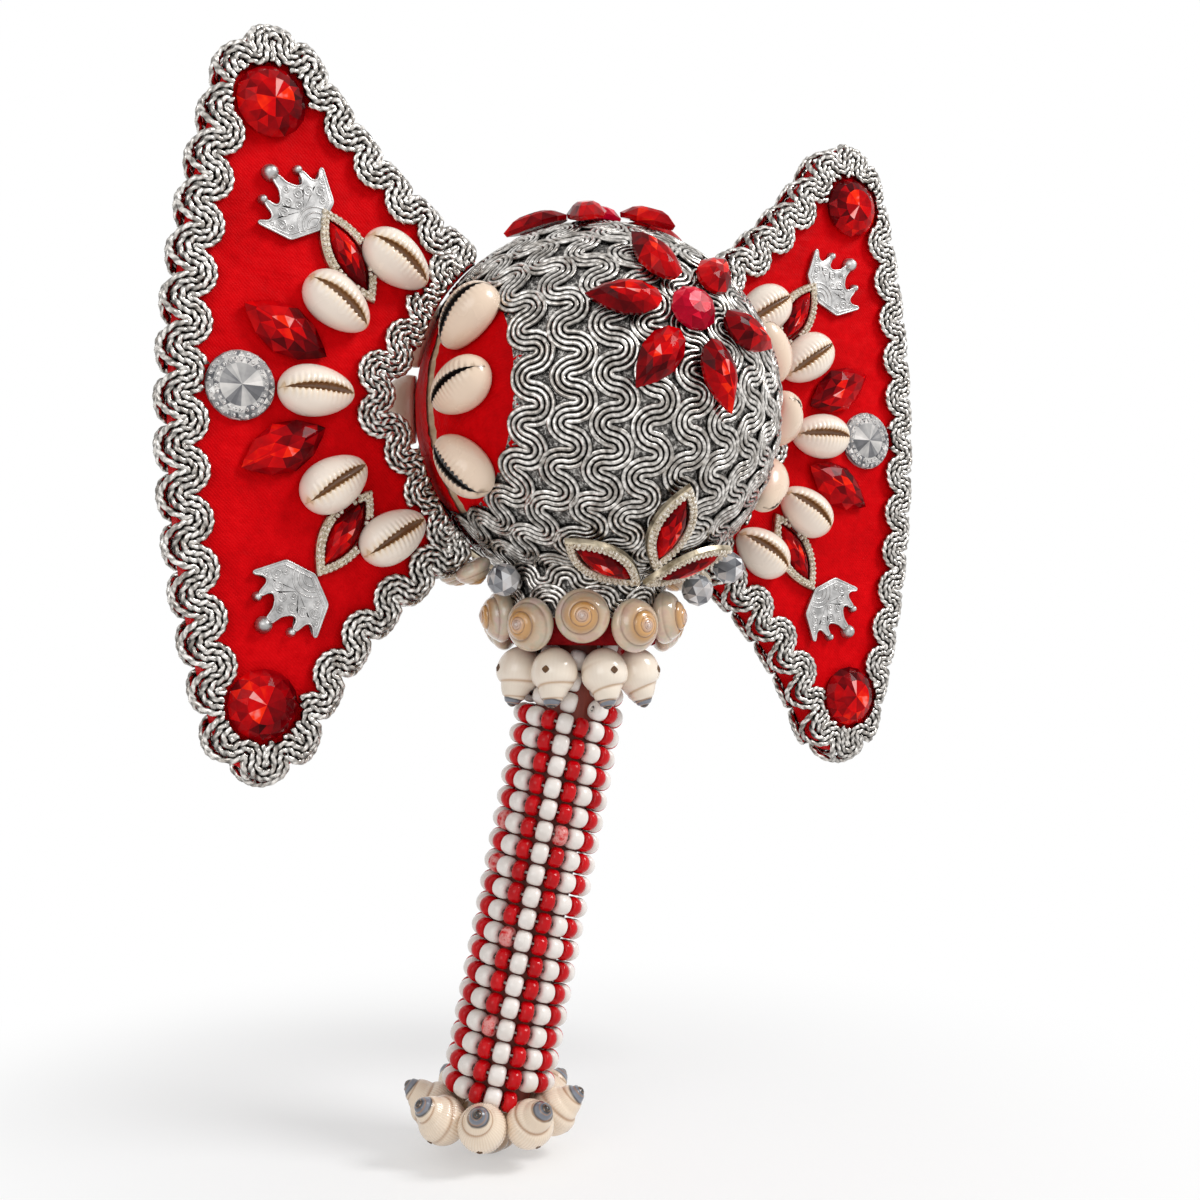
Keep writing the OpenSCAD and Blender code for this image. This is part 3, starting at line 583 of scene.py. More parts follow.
porcelain("cowrie", [
    (0.0, 0.24, 0.11, 0.04), (0.14, 0.52, 0.29, 0.12), (0.3, 0.78, 0.56, 0.34),
    (0.45, 0.66, 0.47, 0.30), (0.58, 0.87, 0.72, 0.56), (0.8, 0.90, 0.79, 0.68)])
# Near black at the slit: painted shade of the cowrie's hollow; pale shell on the back
porcelain("cowrie_shaded_slit", [
    (0.0, 0.006, 0.004, 0.003), (0.2, 0.03, 0.022, 0.018), (0.34, 0.36, 0.26, 0.19),
    (0.45, 0.55, 0.40, 0.28), (0.58, 0.78, 0.61, 0.46), (0.8, 0.82, 0.64, 0.49)])
shell("pearl_shell", (0.16, 0.07, 0.03), 1.0, [
    (0.0, 0.75, 0.68, 0.62), (0.025, 0.55, 0.40, 0.33), (0.08, 0.58, 0.36, 0.24),
    (0.12, 0.66, 0.34, 0.10), (0.22, 0.50, 0.26, 0.08), (0.30, 0.50, 0.33, 0.19),
    (0.6, 0.62, 0.45, 0.32), (1.0, 0.46, 0.32, 0.22),
], pearl=0.45)
shell("white_shell", (0.50, 0.30, 0.16), 0.35, [
    (0.0, 0.012, 0.012, 0.016), (0.06, 0.02, 0.02, 0.025), (0.075, 0.17, 0.19, 0.23),
    (0.13, 0.19, 0.205, 0.24), (0.15, 0.04, 0.04, 0.045), (0.17, 0.82, 0.72, 0.60),
    (0.5, 0.88, 0.78, 0.66), (1.0, 0.82, 0.69, 0.55)])
shell("banded_shell", (0.40, 0.21, 0.10), 0.35, [
    (0.0, 0.012, 0.010, 0.010), (0.05, 0.02, 0.018, 0.018), (0.075, 0.14, 0.16, 0.20),
    (0.14, 0.22, 0.24, 0.29), (0.165, 0.05, 0.045, 0.045), (0.19, 0.84, 0.70, 0.55),
    (0.5, 0.89, 0.76, 0.62), (1.0, 0.82, 0.65, 0.49),
], ribs=1.0)
shell("brown_shell", (0.16, 0.08, 0.04), 0.9, [
    (0.0, 0.03, 0.02, 0.016), (0.06, 0.06, 0.045, 0.035), (0.09, 0.66, 0.56, 0.44),
    (0.14, 0.60, 0.48, 0.34), (0.2, 0.40, 0.24, 0.12), (0.5, 0.48, 0.31, 0.17),
    (1.0, 0.36, 0.20, 0.10)])
# Dark brown of the holes: painted shade of the hollow inside each bore
grained("drilled_hole", [(0.3, 0.06, 0.025, 0.008), (0.7, 0.17, 0.08, 0.03)],
        800, (0.6, 0.9), 0.5)
grained("gourd_skin", [
    (0.3, 0.42, 0.27, 0.15), (0.55, 0.62, 0.46, 0.30), (0.7, 0.75, 0.62, 0.46)],
    60, (0.5, 0.8), 0.8, (1, 1, 6))
grained("stick_wood", [(0.3, 0.17, 0.03, 0.02), (0.7, 0.36, 0.07, 0.045)],
        90, (0.45, 0.7), 0.5, (4, 4, 0.4))
grained("seed", [(0.3, 0.05, 0.022, 0.01), (0.7, 0.20, 0.09, 0.035)], 300, (0.25, 0.5), 0.4)
grained("board_satin", [(0.3, 0.36, 0.001, 0.004), (0.7, 0.6, 0.003, 0.008)],
        300, (0.4, 0.6), 0.3)
grained("white_bead", [(0.3, 0.74, 0.68, 0.63), (0.7, 0.86, 0.81, 0.77)],
        130, (0.2, 0.34), 0.05, Coat_Weight=0.2, Coat_Roughness=0.12)
grained("red_bead", [
    (0.28, 0.40, 0.0005, 0.003), (0.6, 0.58, 0.001, 0.005), (0.75, 0.64, 0.008, 0.010)],
    130, (0.05, 0.11), 0.05, Specular_IOR_Level=0.2)
grained("pale_bead", [
    (0.35, 0.52, 0.003, 0.008), (0.5, 0.74, 0.32, 0.30), (0.65, 0.60, 0.012, 0.014)],
    420, (0.06, 0.13), 0.05, Specular_IOR_Level=0.12)
grained("thread", [(0.3, 0.55, 0.50, 0.45), (0.7, 0.80, 0.77, 0.72)], 900, (0.5, 0.8), 0.5)


# Blade outline and the runs of its trim, outward distance first, then height
def arc_points(c, r, a0, a1, n):
    return c + r * at_angle(np.linspace(a0, a1, n))


def notch(a):
    """Share of the notch's depth at angles from the blade's middle."""
    return np.where(np.abs(a) < deg(NOTCH_A), (1 + np.cos(np.pi * a / deg(NOTCH_A))) / 2, 0)


def edge_parts(half):
    """Run of the trim along the free edges of a half: points, normals, waves."""
    h = HALVES[half]
    parts = []
    for c, r, a0, a1, sense, spare in (
        (EDGE_C, EDGE_R - RIBBON_IN, 0, TIP_A, 1, 0),
        (TIP_C, TIP_R - RIBBON_IN, TIP_A, h.tip_a, 1, 2.5),
        (h.c, h.r + RIBBON_IN, h.a0, h.a1, -1, 0),
    ):
        waves = max(1, round(abs(a1 - a0) * (r + spare) / WAVE))
        p = arc_points(c, r, a0, a1, 400)
        parts.append((p, sense * (p - c) / r, waves))
    return parts


def hug_parts():
    """Run of the trim beside the gourd, about the gourd's centre."""
    a = np.linspace(0, deg(ARM_A - 5), 600)
    p = (SEAT_R + TRIM_INSET - 0.4 + NOTCH_D * notch(a))[:, None] * at_angle(a)
    return [(p, left_of(np.gradient(p, axis=0)), 4)]


def ribbon_line(upper, lower, amplitude, swing, rise=0.0):
    """Middle line of a meandering ribbon through both halves of a face."""
    x, y = meander(swing, 0.9)
    lines = []
    for parts in (lower, upper):
        half = []
        for p, nrm, waves in parts:
            d = along(p)
            s = np.concatenate([w + x for w in range(waves)]) / waves * d[-1]
            half.append(between(s, d, p) + between(s, d, nrm) * np.tile(y, waves)[:, None] * amplitude)
        lines.append(np.concatenate(half))
    return np.concatenate([lines[0][:0:-1] * [1, -1], lines[1]]) + [0, rise]


def strands(line, pitch, spread=0.0):
    """Four strands side by side along a line, further apart by spread where the line runs across."""
    t = unit(np.gradient(line, axis=0))
    across = left_of(t) * (pitch + spread * t[:, 1:] ** 2)
    for k in (-1.5, -0.5, 0.5, 1.5):
        yield k / 1.5, line + across * k


def off_cowries(p, gap):
    """Which points of a blade's plane lie clear of its cowries."""
    ok = np.ones(len(p), bool)
    for u, v, a in COWRIES_AT:
        c, s = at_angle(deg(a))
        x, y = ((p - [u, v]) @ [[c, -s], [s, c]]).T
        ok &= (x / (COWRIE_L / 2 + gap)) ** 2 + (y / (COWRIE_W / 2 + gap)) ** 2 > 1
    return ok


def off_ornaments(p):
    """Which points of a blade's plane the trim may pass through."""
    ok = off_cowries(p, 0.6)
    u, v = GEM_AT
    for at, d in (((u, v), GEM_D), ((u, -v), GEM_D), ((RIVOLI_U, INNER_RISE), RIVOLI_D)):
        ok &= np.hypot(*(p - at).T) > d / 2 + 0.7
    return ok


CORD_K, CORD_TWIST = 10, 4.6
CORD_A = angles(CORD_K)
CORD = at_angle(CORD_A) * (0.90 + 0.13 * np.cos(2 * CORD_A))[:, None]


def cord_painted_shade(angle, k):
    """Painted shade: dark where a cord lies against its neighbours and between its plies, bright elsewhere.
    """
    side = np.cos(CORD_A + angle[:, None])
    touch = np.clip((np.abs(side) - 0.4) / 0.5, 0, 1)
    touch = np.where(side * k < -0.5, 0.3 * touch, touch)
    ply = 0.5 + 0.5 * np.cos(2 * CORD_A)
    return np.clip(0.97 - 0.66 * touch - 0.55 * (1 - ply) ** 3, 0, 1)


def overhang(p):
    """How far points stand out over the board's free edge."""
    e = np.hypot(*(p - EDGE_C).T) - EDGE_R
    for k, h in HALVES.items():
        q = p * [1, k]
        e = np.where(q[:, 1] > 0, np.maximum(e, h.r - np.hypot(*(q - h.c).T)), e)
        a = np.arctan2(q[:, 1] - TIP_C[1], q[:, 0] - TIP_C[0])
        e = np.where((a > TIP_A) & (a < h.tip_a), np.hypot(*(q - TIP_C).T) - TIP_R, e)
    return e


def make_trims():
    hug = hug_parts()
    # Middle line, lift over the face, the strands' pitch, and whether it folds over the board's edge
    ribbons = [(ribbon_line(hug, hug, 2.9, 1.5, BLADE_DROP), 0.0, 1.6, 0),
               (ribbon_line(edge_parts(1), edge_parts(-1), 3.0, 1.57), 0.25, 1.66, 1)]
    for sname, side, fname, face in blade_faces():
        b = Build()
        place = on_blade(side, face)
        for line, lift, pitch, folds in ribbons:
            for i, (k, p) in enumerate(strands(line, pitch)):
                p, s = resample(p, 0.42)
                out = np.maximum(0, overhang(p) - 1.0) * folds
                q = at_height(p, FACE_H + 1.0 + lift + 0.45 * (1 - k * k) - out - 0.2 * out ** 2)
                from_gourd = np.linalg.norm(put(place, q) - [0, 0, GOURD_Z], axis=1)
                for r in runs(off_ornaments(p) & (from_gourd > SEAT_R + 0.5)):
                    angle = (1 if i % 2 else -1) * 2 * np.pi * s[r] / CORD_TWIST + i
                    v, f, t = tube(q[r], UP, CORD, np.zeros(CORD_K), angle)
                    # Tints of painted shade between the cords and their plies
                    t[: angle.size * CORD_K] = cord_painted_shade(angle, k).ravel()
                    b.add(v, f, t, place=place)
        b.piece(f"{sname}_trim_{fname}", "ropes", ["silver_rope"], "silver_braid")


# Braid round the gourd
WIRE = np.array([(-0.72, -0.1), (-0.70, 0.25), (-0.52, 0.58), (-0.24, 0.76), (0.08, 0.78), (0.36, 0.70),
                 (0.60, 0.45), (0.72, 0.1), (0.0, -0.5)])
# Tint across a wire: painted shade at its edges and a painted highlight along its top
WIRE_SHADE_AND_HIGHLIGHT = np.array([0.0, 0.2, 0.7, 1.0, 0.95, 0.62, 0.3, 0.0, 0.0])
WIRE_TWIST, WIRE_R, BED_R = 2.1, 51.8, 51.15
BRAID_R, BRAID_WAVE = 52.0, 12.6


def ball(theta, beta, r):
    level = r * np.cos(beta)
    return np.stack([r * np.sin(beta), -level * np.cos(theta), GOURD_Z + level * np.sin(theta)], -1)


def clear_of_neck(p, gap=0.8):
    return (np.hypot(p[:, 0] - NECK_X, p[:, 1]) > COLLAR_R + gap) | (p[:, 2] > GOURD_Z)


def twisted_wire(points, up, closed=False):
    """A strand of the gourd's braid, with painted light and shade of its twist."""
    v, f, t = tube(points, up, WIRE, WIRE_SHADE_AND_HIGHLIGHT, closed=closed)
    s = along(points)
    turns = np.round(s[-1] / WIRE_TWIST) / s[-1] if s[-1] > WIRE_TWIST else 1 / WIRE_TWIST
    # Light and dark dashes along the strand: painted light and shade of a twist the geometry lacks
    ply = np.cos(2 * np.pi * s[:, None] * turns - 2.2 * WIRE[:, 0])
    t[: ply.size] *= (0.88 + 0.2 * ply).ravel()
    return v, f, t


def closed_wave(starts, length, swing):
    """Middle line of a closed ribbon; starts are the shares of its length at which waves start."""
    x, y = meander(1.5, 0.8)
    waves = len(starts) - 1
    s = np.interp(np.concatenate([w + x for w in range(waves)]), np.arange(waves + 1), starts) * length
    line = np.stack([s, np.tile(y, waves) * swing], 1)
    return np.concatenate([line, [[length, line[0, 1]]]])


def closed_strands(line, pitch, step, spread=0.0):
    """The strands of a closed ribbon, each ending where it starts."""
    for k, p in strands(line, pitch, spread):
        p[-1] = p[0] + [line[-1, 0], 0]
        yield k, resample(p, step)[0]


def make_braid_wires():
    b = Build()
    g = np.random.default_rng(21)
    for ring in range(BRAID_RINGS):
        beta = deg(BRAID_STEP) * (ring - BRAID_RINGS // 2)
        ring_r = BRAID_R * math.cos(beta)
        length = 2 * np.pi * ring_r
        starts = np.cumsum(g.uniform(0.88, 1.12, round(length / BRAID_WAVE) + 1))
        starts = (starts - starts[0]) / (starts[-1] - starts[0])
        phase = deg(10) + g.normal(0, 1.2) / ring_r
        for k, p in closed_strands(closed_wave(starts, length, 3.55), 1.46, 0.55, 0.06):
            r = WIRE_R + 0.2 * np.sin(p[:, 0] * 0.9 + 2 * k)
            q = ball(p[:, 0] / ring_r + phase, beta + p[:, 1] / BRAID_R, r)
            up = (q - [0, 0, GOURD_Z]) / r[:, None]
            ok = clear_of_neck(q)
            if ok.all():
                b.add(*twisted_wire(q[:-1], up[:-1], True))
                continue
            first = np.flatnonzero(~ok)[0]
            q, up, ok = (np.roll(a[:-1], -first, 0) for a in (q, up, ok))
            for part in runs(ok):
                b.add(*twisted_wire(q[part], up[part]))
    # The braid's last rounds, bunched under the gourd and behind the shells
    for r, low, swing, waves in ((22.6, 48.4, 2.1, 11), (21.7, 54.4, 2.0, 10)):
        line = closed_wave(np.linspace(0, 1, waves + 1), 2 * np.pi * r, swing)
        for _, p in closed_strands(line, 1.35, 0.5):
            out = at_height(at_angle(p[:, 0] / r), 0)
            q = put(at_neck(low), out * (r + 0.2 * p[:, 1:]) + p[:, 1:] * UP)
            b.add(*twisted_wire(q[:-1], out[:-1], True))
    b.piece("gourd_braid", "wires", ["silver_wire"], "silver_braid")


def make_braid_bed():
    """The rough ground that shows between the strands, mostly dark as painted shade."""
    b = Build()
    g = np.random.default_rng(7)
    n, m = 260, 84
    theta, beta = np.meshgrid(angles(n), np.linspace(-0.925, 0.925, m), indexing="ij")
    r = BED_R + 0.28 * g.random((n, m))
    v = ball(theta.ravel(), beta.ravel(), r.ravel())
    f = ring_faces(n, m, closed=False, loop=True)
    b.add(v, f[clear_of_neck(v, 0.4)[f].all(1)])
    n = 180
    rows = ((20.9, 43.0), (22.1, 45.0), (22.1, 48.5), (21.3, 52.0), (20.9, 58.0), (20.5, 59.0))
    v = [round_neck(angles(n), r + 0.2 * g.random((2, n)).T, low) for r, low in rows]
    b.add(np.concatenate(v), ring_faces(len(rows), n)[:, ::-1])
    b.piece("gourd_braid", "bed", ["braid_bed"], "silver_braid")


# Satin on the blades, wrapped over the board's edge, on the gourd's caps and round the neck
CREASES_U = 85


def wrinkle(p, q, seed):
    """Low creases over a plane, in millimetres."""
    g = np.random.default_rng(seed)
    h = np.zeros_like(p)
    for _ in range(14):
        a, f = g.uniform(0, np.pi), g.uniform(0.05, 0.22)
        c = p * math.cos(a) + q * math.sin(a)
        d = -p * math.sin(a) + q * math.cos(a)
        size, phase, sway = g.uniform(0.3, 1.0), g.uniform(0, 6), g.uniform(0, 6)
        h += size * np.sin(c * f * 6.28 + phase + 0.6 * np.sin(d * 0.09 + sway))
    for _ in range(7):
        a, at = g.uniform(0, np.pi), g.uniform(-60, 60)
        d = (p - CREASES_U) * math.cos(a) + q * math.sin(a) - at + 2 * np.sin(q * 0.11 + g.uniform(0, 6))
        h += 5 * np.exp(-(d / 0.9) ** 2) * g.choice([-1, 1])
    return h * 0.035


def blade_boundary(plane_r):
    """Outline of a blade's satin, and 1 for its points on the board's free edges."""
    gourd = np.array([0.0, BLADE_DROP])
    sides = []
    for k, h in HALVES.items():
        half = np.concatenate([
            arc_points(EDGE_C, EDGE_R, 0, TIP_A, 60)[:-1],
            arc_points(TIP_C, TIP_R, TIP_A, h.tip_a, 40)[:-1],
            arc_points(h.c, h.r, h.a0, h.a1, 80),
        ]) * [1, k]
        sides.append(half[np.hypot(*(half - gourd).T) > plane_r + 0.2])
    a = np.linspace(*(heading(half[-1] - gourd) for half in sides), 121)
    inner = gourd + (plane_r + 0.25 + NOTCH_D * notch(a))[:, None] * at_angle(a)
    outline = np.concatenate([sides[0], inner[:-1], sides[1][::-1]])[:-1]
    free = np.concatenate([np.ones(len(sides[0])), np.zeros(len(a) - 1), np.ones(len(sides[1]))])[:-1]
    return outline, free[:, None]


def make_blade_satin():
    hub = np.array([75.0, 0.0])
    rows = 44
    for sname, side, fname, face in blade_faces():
        outline, free = blade_boundary(math.sqrt(SEAT_R ** 2 - (BACK_Y - face * FACE_H) ** 2))
        out = -left_of(chords(outline))
        rings = []
        for row in range(1, rows + 1):
            share = (row / rows) ** 0.8
            p = hub + (outline - hub) * share
            crease = wrinkle(*p.T, 11 + 3 * (face == BACK) + side)
            rings.append(at_height(p, FACE_H - 0.25 + min(1, (1 - share) * 12) * crease))
        for past, h in ((0.35, FACE_H - 0.45), (0.55, FACE_H - 1.1), (0.55, 1.6), (0.5, 0.05)):
            rings.append(at_height(outline + out * np.where(free, past, -0.2), h))
        n = len(outline)
        f = [ring_faces(len(rings), n)[:, ::-1] + 1, fan(np.arange(n) + 1, 0)]
        b = Build()
        b.add(np.concatenate([[[*hub, FACE_H]], *rings]), f, place=on_blade(side, face))
        o = b.piece(f"{sname}_satin_{fname}", "cloth", ["red_satin"], "red_satin")


def make_cap_satin():
    edge_x = GOURD_R * math.sin(deg(BRAID_STEP * BRAID_RINGS / 2)) - 1.6
    rim = math.sqrt(SATIN_R ** 2 - edge_x ** 2)
    rows, cols, bare = 60, 40, 2.4
    z = math.sqrt(rim ** 2 - bare ** 2) * np.sin(np.linspace(-np.pi / 2, np.pi / 2, rows) * 0.995)
    far = np.sqrt(rim ** 2 - z ** 2)
    zz = np.repeat(z[:, None], cols, 1)
    f = ring_faces(rows, cols, closed=False)
    for sname, side, fname, face in blade_faces():
        i = int(face == BACK)
        fringe = bare + 0.35 * np.sin(z * 1.9 + i) + 0.25 * np.sin(z * 5.1)
        y = fringe[:, None] + (np.maximum(far, fringe + 0.05) - fringe)[:, None] * np.linspace(0, 1, cols)
        r = SATIN_R - 0.05 + 0.9 * wrinkle(CREASES_U + y * 1.3, zz, 31 + i + 2 * side)
        x = np.sqrt(np.maximum(0, r ** 2 - y ** 2 - zz ** 2))
        v = np.stack([side * x, -face * y, GOURD_Z + zz], -1).reshape(-1, 3)
        b = Build()
        b.add(v, f if side * face > 0 else f[:, ::-1])
        o = b.piece(f"cap_satin_{sname}_{fname}", "cloth", ["red_satin"], "red_satin")


def make_collar():
    a = angles(240)
    pleat = np.sin(a * 30 + 0.8 * np.sin(a * 7))[:, None] - 0.4
    # Drop below the gourd's middle, radius, and depth of the pleats
    rows = ((48.5, 19.4, 0.2), (52, 20.2, 0.35), (57, 20.25, 0.4), (62, 20.3, 0.4), (66, 20.2, 0.3),
            (66.4, 19.4, 0.2), (66.3, 13.0, 0.1))
    v = np.concatenate([round_neck(a, r + depth * pleat, low) for low, r, depth in rows])
    b = Build()
    b.add(v, ring_faces(len(rows), len(a))[:, ::-1])
    # The collar's satin is darkened as painted shade
    o = b.piece("neck_collar", "cloth", ["collar_satin_painted_shade"], "red_satin")


make_trims()
make_braid_wires()
make_braid_bed()
make_blade_satin()
make_cap_satin()
make_collar()


# Stones
def lens(l, w, n, shift=0.0):
    c, s = at_angle(angles(n, shift)).T
    return np.stack([l / 2 * c, w / 2 * s * np.abs(s)], 1)


def drop(l, w, n, shift=0.0):
    c, s = at_angle(angles(n, shift)).T
    return np.stack([l / 2 * c, w / 2 * s * np.abs(s) ** (0.15 + 0.45 * (1 + c)) * (1 - 0.3 * c)], 1)


def disc(d, n, shift=0.0):
    return d / 2 * at_angle(angles(n, shift))


def facets(half, n):
    """Triangles of rings of n points and two middle points; half marks rings turned by half a step."""
    tri = []
    for r in range(len(half) - 1):
        lo, hi = r * n, (r + 1) * n
        for i in range(n):
            j = (i + 1) % n
            if half[r] == half[r + 1]:
                tri += [(lo + i, lo + j, hi + j), (lo + i, hi + j, hi + i)]
            elif half[r + 1]:
                tri += [(lo + i, lo + j, hi + i), (lo + j, hi + j, hi + i)]
            else:
                tri += [(lo + i, hi + j, hi + i), (lo + i, lo + j, hi + j)]
    end = len(half) * n
    return np.concatenate([tri, fan(np.arange(n), end, True), fan(np.arange(n) + end - n, end + 1)])


def cut_stone(shape, size, n, levels, seed, peak=0.12):
    """A faceted stone: levels are (share, height, half step), the last one the table. Its facet tones are
    painted light, with one side lighter and one table facet a painted reflection.
    """
    rings = [at_height(shape(*size, n, half / 2) * share, z) for share, z, half in levels]
    v = np.concatenate(rings + [[[0, 0, levels[0][1]], [0, 0, levels[-1][1] + peak]]])
    tri = facets([half for *_, half in levels], n)
    g = np.random.default_rng(seed)
    middle = v[tri].mean(1)
    # One side of the stone lighter: painted light
    painted_lit_side = np.cos(np.arctan2(middle[:, 1], middle[:, 0]) - g.uniform(0, 2 * np.pi))
    tone = np.clip(0.42 + 0.2 * painted_lit_side + g.normal(0, 0.11, len(tri)), 0.05, 0.85)
    table = np.repeat(g.permutation(np.linspace(0.3, 0.88, (n + 1) // 2)), 2)[:n]
    # The palest table facet: a painted reflection
    table[0] = 0.97
    tone[-n:] = np.roll(table, g.integers(n))
    return v, tri, tone


def round_gem(seed):
    levels = [(0.94, 0, 0), (1, 1.5, 0), (0.82, 3.5, 1), (0.55, GEM_H - 0.12, 0)]
    return cut_stone(disc, (GEM_D,), 16, levels, seed)


def navette(l, w, h, seed):
    levels = [(0.94, 0, 0), (1, 0.3 * h, 0), (0.78, 0.72 * h, 1), (0.42, h - 0.1, 0)]
    return cut_stone(lens, (l, w), 12, levels, seed)


def large_navette(seed):
    return navette(NAVETTE_L, NAVETTE_W, NAVETTE_H, seed)


def slim_navette(seed):
    return navette(SLIM_L, SLIM_W, SLIM_H, seed)


def petal(seed):
    levels = [(0.94, 0, 0), (1, 1.3, 0), (0.66, 3.6, 1), (0.4, NAVETTE_H, 0)]
    return cut_stone(drop, (PETAL_L, PETAL_W), 12, levels, seed)


def flower_centre(seed):
    levels = [(0.94, 0, 0), (1, 1.4, 0), (0.74, 3.6, 1), (0.5, NAVETTE_H, 0)]
    return cut_stone(disc, (FLOWER_MID_D,), 10, levels, seed)


def crystal(d, h):
    """A small cut crystal, open below."""
    n = 8
    i = np.arange(n)
    j = (i + 1) % n
    v = np.concatenate([at_height(disc(d, n), 0), at_height(disc(d * 0.55, n, 0.5), h), [[0, 0, h * 1.1]]])
    return v, np.concatenate([np.stack([i, j, n + i], 1), np.stack([j, n + j, n + i], 1), fan(i + n, 2 * n)])


def add_stone(b, made, place):
    v, f, tone = made
    b.add(v, f, tone=tone, place=place)


def stones(at, spin, rise, make):
    """Dresses a blade's face with one stone in each half."""
    def dress(b, side, face, place):
        for i, m in enumerate(halves(at, spin, rise)):
            add_stone(b, make(107 + side + 14 * (face == BACK) + 7 * i), place @ m)
    return dress


def rivoli(b, side, face, place):
    """The clear round stone of a blade's face, with two rings of dots."""
    place = place @ move(RIVOLI_U, INNER_RISE, FACE_H)
    seed, n = 5 + face, 24
    levels = [(1, 0, 0), (1, 0.9, 0), (0.97, 1.3, 0), (0.8, 1.7, 1), (0.62, 1.8, 0)]
    v, f, tone = cut_stone(disc, (RIVOLI_D,), n, levels, seed, peak=0.75)
    g = np.random.default_rng(seed)
    # Bright and dark sectors of the table and tones of the other facets and dots: painted reflections
    tone[-n:] = np.repeat(g.permutation(np.linspace(0.2, 0.75, 8)), 3) + g.uniform(-0.08, 0.08, n)
    tone[:-n] = np.clip(g.normal(0.42, 0.2, len(tone) - n), 0.05, 0.9)
    add_stone(b, (v, f, tone), place)
    dot, f = crystal(1.15, 0.3)
    for share, z, many in ((0.9, 1.42, 30), (0.72, 1.72, 26)):
        for p in disc(share * RIVOLI_D, many, 0.5):
            add_stone(b, (dot + [*p, z], f, np.clip(g.normal(0.62, 0.25, len(f)), 0.1, 1)), place)


# Materials and slot of the borders
CHAIN = (["chain_crystal", "stone_setting"], "crystal_chain")


def border(b, place, seed, keep=None):
    """Metal band round a slim stone, with two rows of small crystals."""
    g = np.random.default_rng(seed)
    n = 96
    # Growth over the stone's length and width, and height
    band = ((0.7, 0.7, 0.0), (0.7, 0.7, 1.5), (1.2, 1.1, 1.75), (6.6, 4.9, 1.75), (7.6, 5.7, 1.3),
            (7.8, 5.9, 0.0))
    v = np.concatenate([at_height(lens(SLIM_L + l, SLIM_W + w, n), z) for l, w, z in band])
    f = ring_faces(len(band), n)[:, ::-1]
    if keep:
        f = f[keep(v)[f].all(1)]
    b.add(v, f, mat=1, place=place)
    dot, f = crystal(1.35, 0.55)
    for l, w in ((2.5, 2.1), (5.5, 4.2)):
        line = resample(close(lens(SLIM_L + l, SLIM_W + w, 400)), 1.5)[0][:-1]
        line = at_height(line, 1.72)
        for p in line[keep(line)] if keep else line:
            add_stone(b, (dot + p, f, np.clip(g.normal(0.6, 0.25, len(f)), 0, 1)), place)


def chain_borders(b, side, face, place):
    for i, m in enumerate(halves(SLIM_AT, SLIM_TURN, INNER_RISE)):
        border(b, place @ m, 40 + i, lambda v: off_cowries(put(m, v)[:, :2], 0.2))


def make_flowers():
    petals, centres = Build(), Build()
    lift = move(0, 0, SEAT_R)
    tilt = math.degrees(math.asin((FLOWER_MID_D / 2 + PETAL_L / 2 + SEAT) / SEAT_R)) + 1.5
    for i, (az, el) in enumerate(FLOWERS):
        m = on_gourd(az, el, 0)
        for k in range(6):
            add_stone(petals, petal(60 + 6 * i + k), m @ turn("Z", 60 * k + 50) @ turn("Y", tilt) @ lift)
        add_stone(centres, flower_centre(90 + i), m @ lift)
    petals.piece("flower_petals", "cut", ["red_stone"], "red_stone", False)
    centres.piece("flower_centres", "cut", ["pink_stone"], "pink_stone", False)


def make_leaves():
    leaves, rims = Build(), Build()
    for front in (0, 180):
        for i, (az, el, spin) in enumerate(LEAVES):
            m = on_gourd(front + az, el, SEAT_R, spin)
            add_stone(leaves, slim_navette(70 + i + front), m)
            border(rims, m, 80 + i + front)
    leaves.piece("leaf_stones", "cut", ["red_stone"], "red_stone", False)
    rims.piece("leaf_borders", "crystals", *CHAIN, False)


for kind, dress in {
    "gems": stones(GEM_AT, 0, 0, round_gem),
    "navettes": stones(NAVETTE_AT, NAVETTE_TURN, INNER_RISE, large_navette),
    "chain_stones": stones(SLIM_AT, SLIM_TURN, INNER_RISE, slim_navette),
}.items():
    dress_blades(kind, "cut", ["red_stone"], "red_stone", dress, False)
dress_blades("rivolis", "cut", ["clear_stone"], "rivoli_stone", rivoli, False)
dress_blades("chain_borders", "crystals", *CHAIN, chain_borders, False)
make_flowers()
make_leaves()


# Crown charms: a plate with a rolled rim, raised beads and scrolls
CROWN_HALF = [(0.0, -9.6), (8.0, -6.7), (10.0, -2.4), (12.0, 1.7), (11.3, 2.0), (9.6, 0.4), (8.3, 0.1),
              (7.3, 0.9), (6.95, 4.4), (5.85, 4.4), (5.3, 2.2), (4.2, 1.6), (2.9, 2.2), (1.4, 4.4),
              (0.9, 7.6)]
CROWN_T, CROWN_FOOT = 1.3, (0.0, -8.4)


def dome(r, h, n=14, rows=5):
    lifts = at_angle(np.pi / 2 * np.arange(rows) / rows)
    v = np.concatenate([at_height(disc(2 * r * c, n), h * s) for c, s in lifts] + [[[0, 0, h]]])
    return v, [ring_faces(rows, n), fan(np.arange(n) + (rows - 1) * n, rows * n)]


def emboss(b, place, line, r, z=CROWN_T, closed=False):
    """A thin raised line along points of a charm."""
    q = at_height(resample(np.asarray(line, float), 0.3)[0], z)
    v, f, t = tube(q[:-1] if closed else q, UP, r * disc(2, 6), np.full(6, 0.5), closed=closed)
    b.add(v, f, t, place=place)


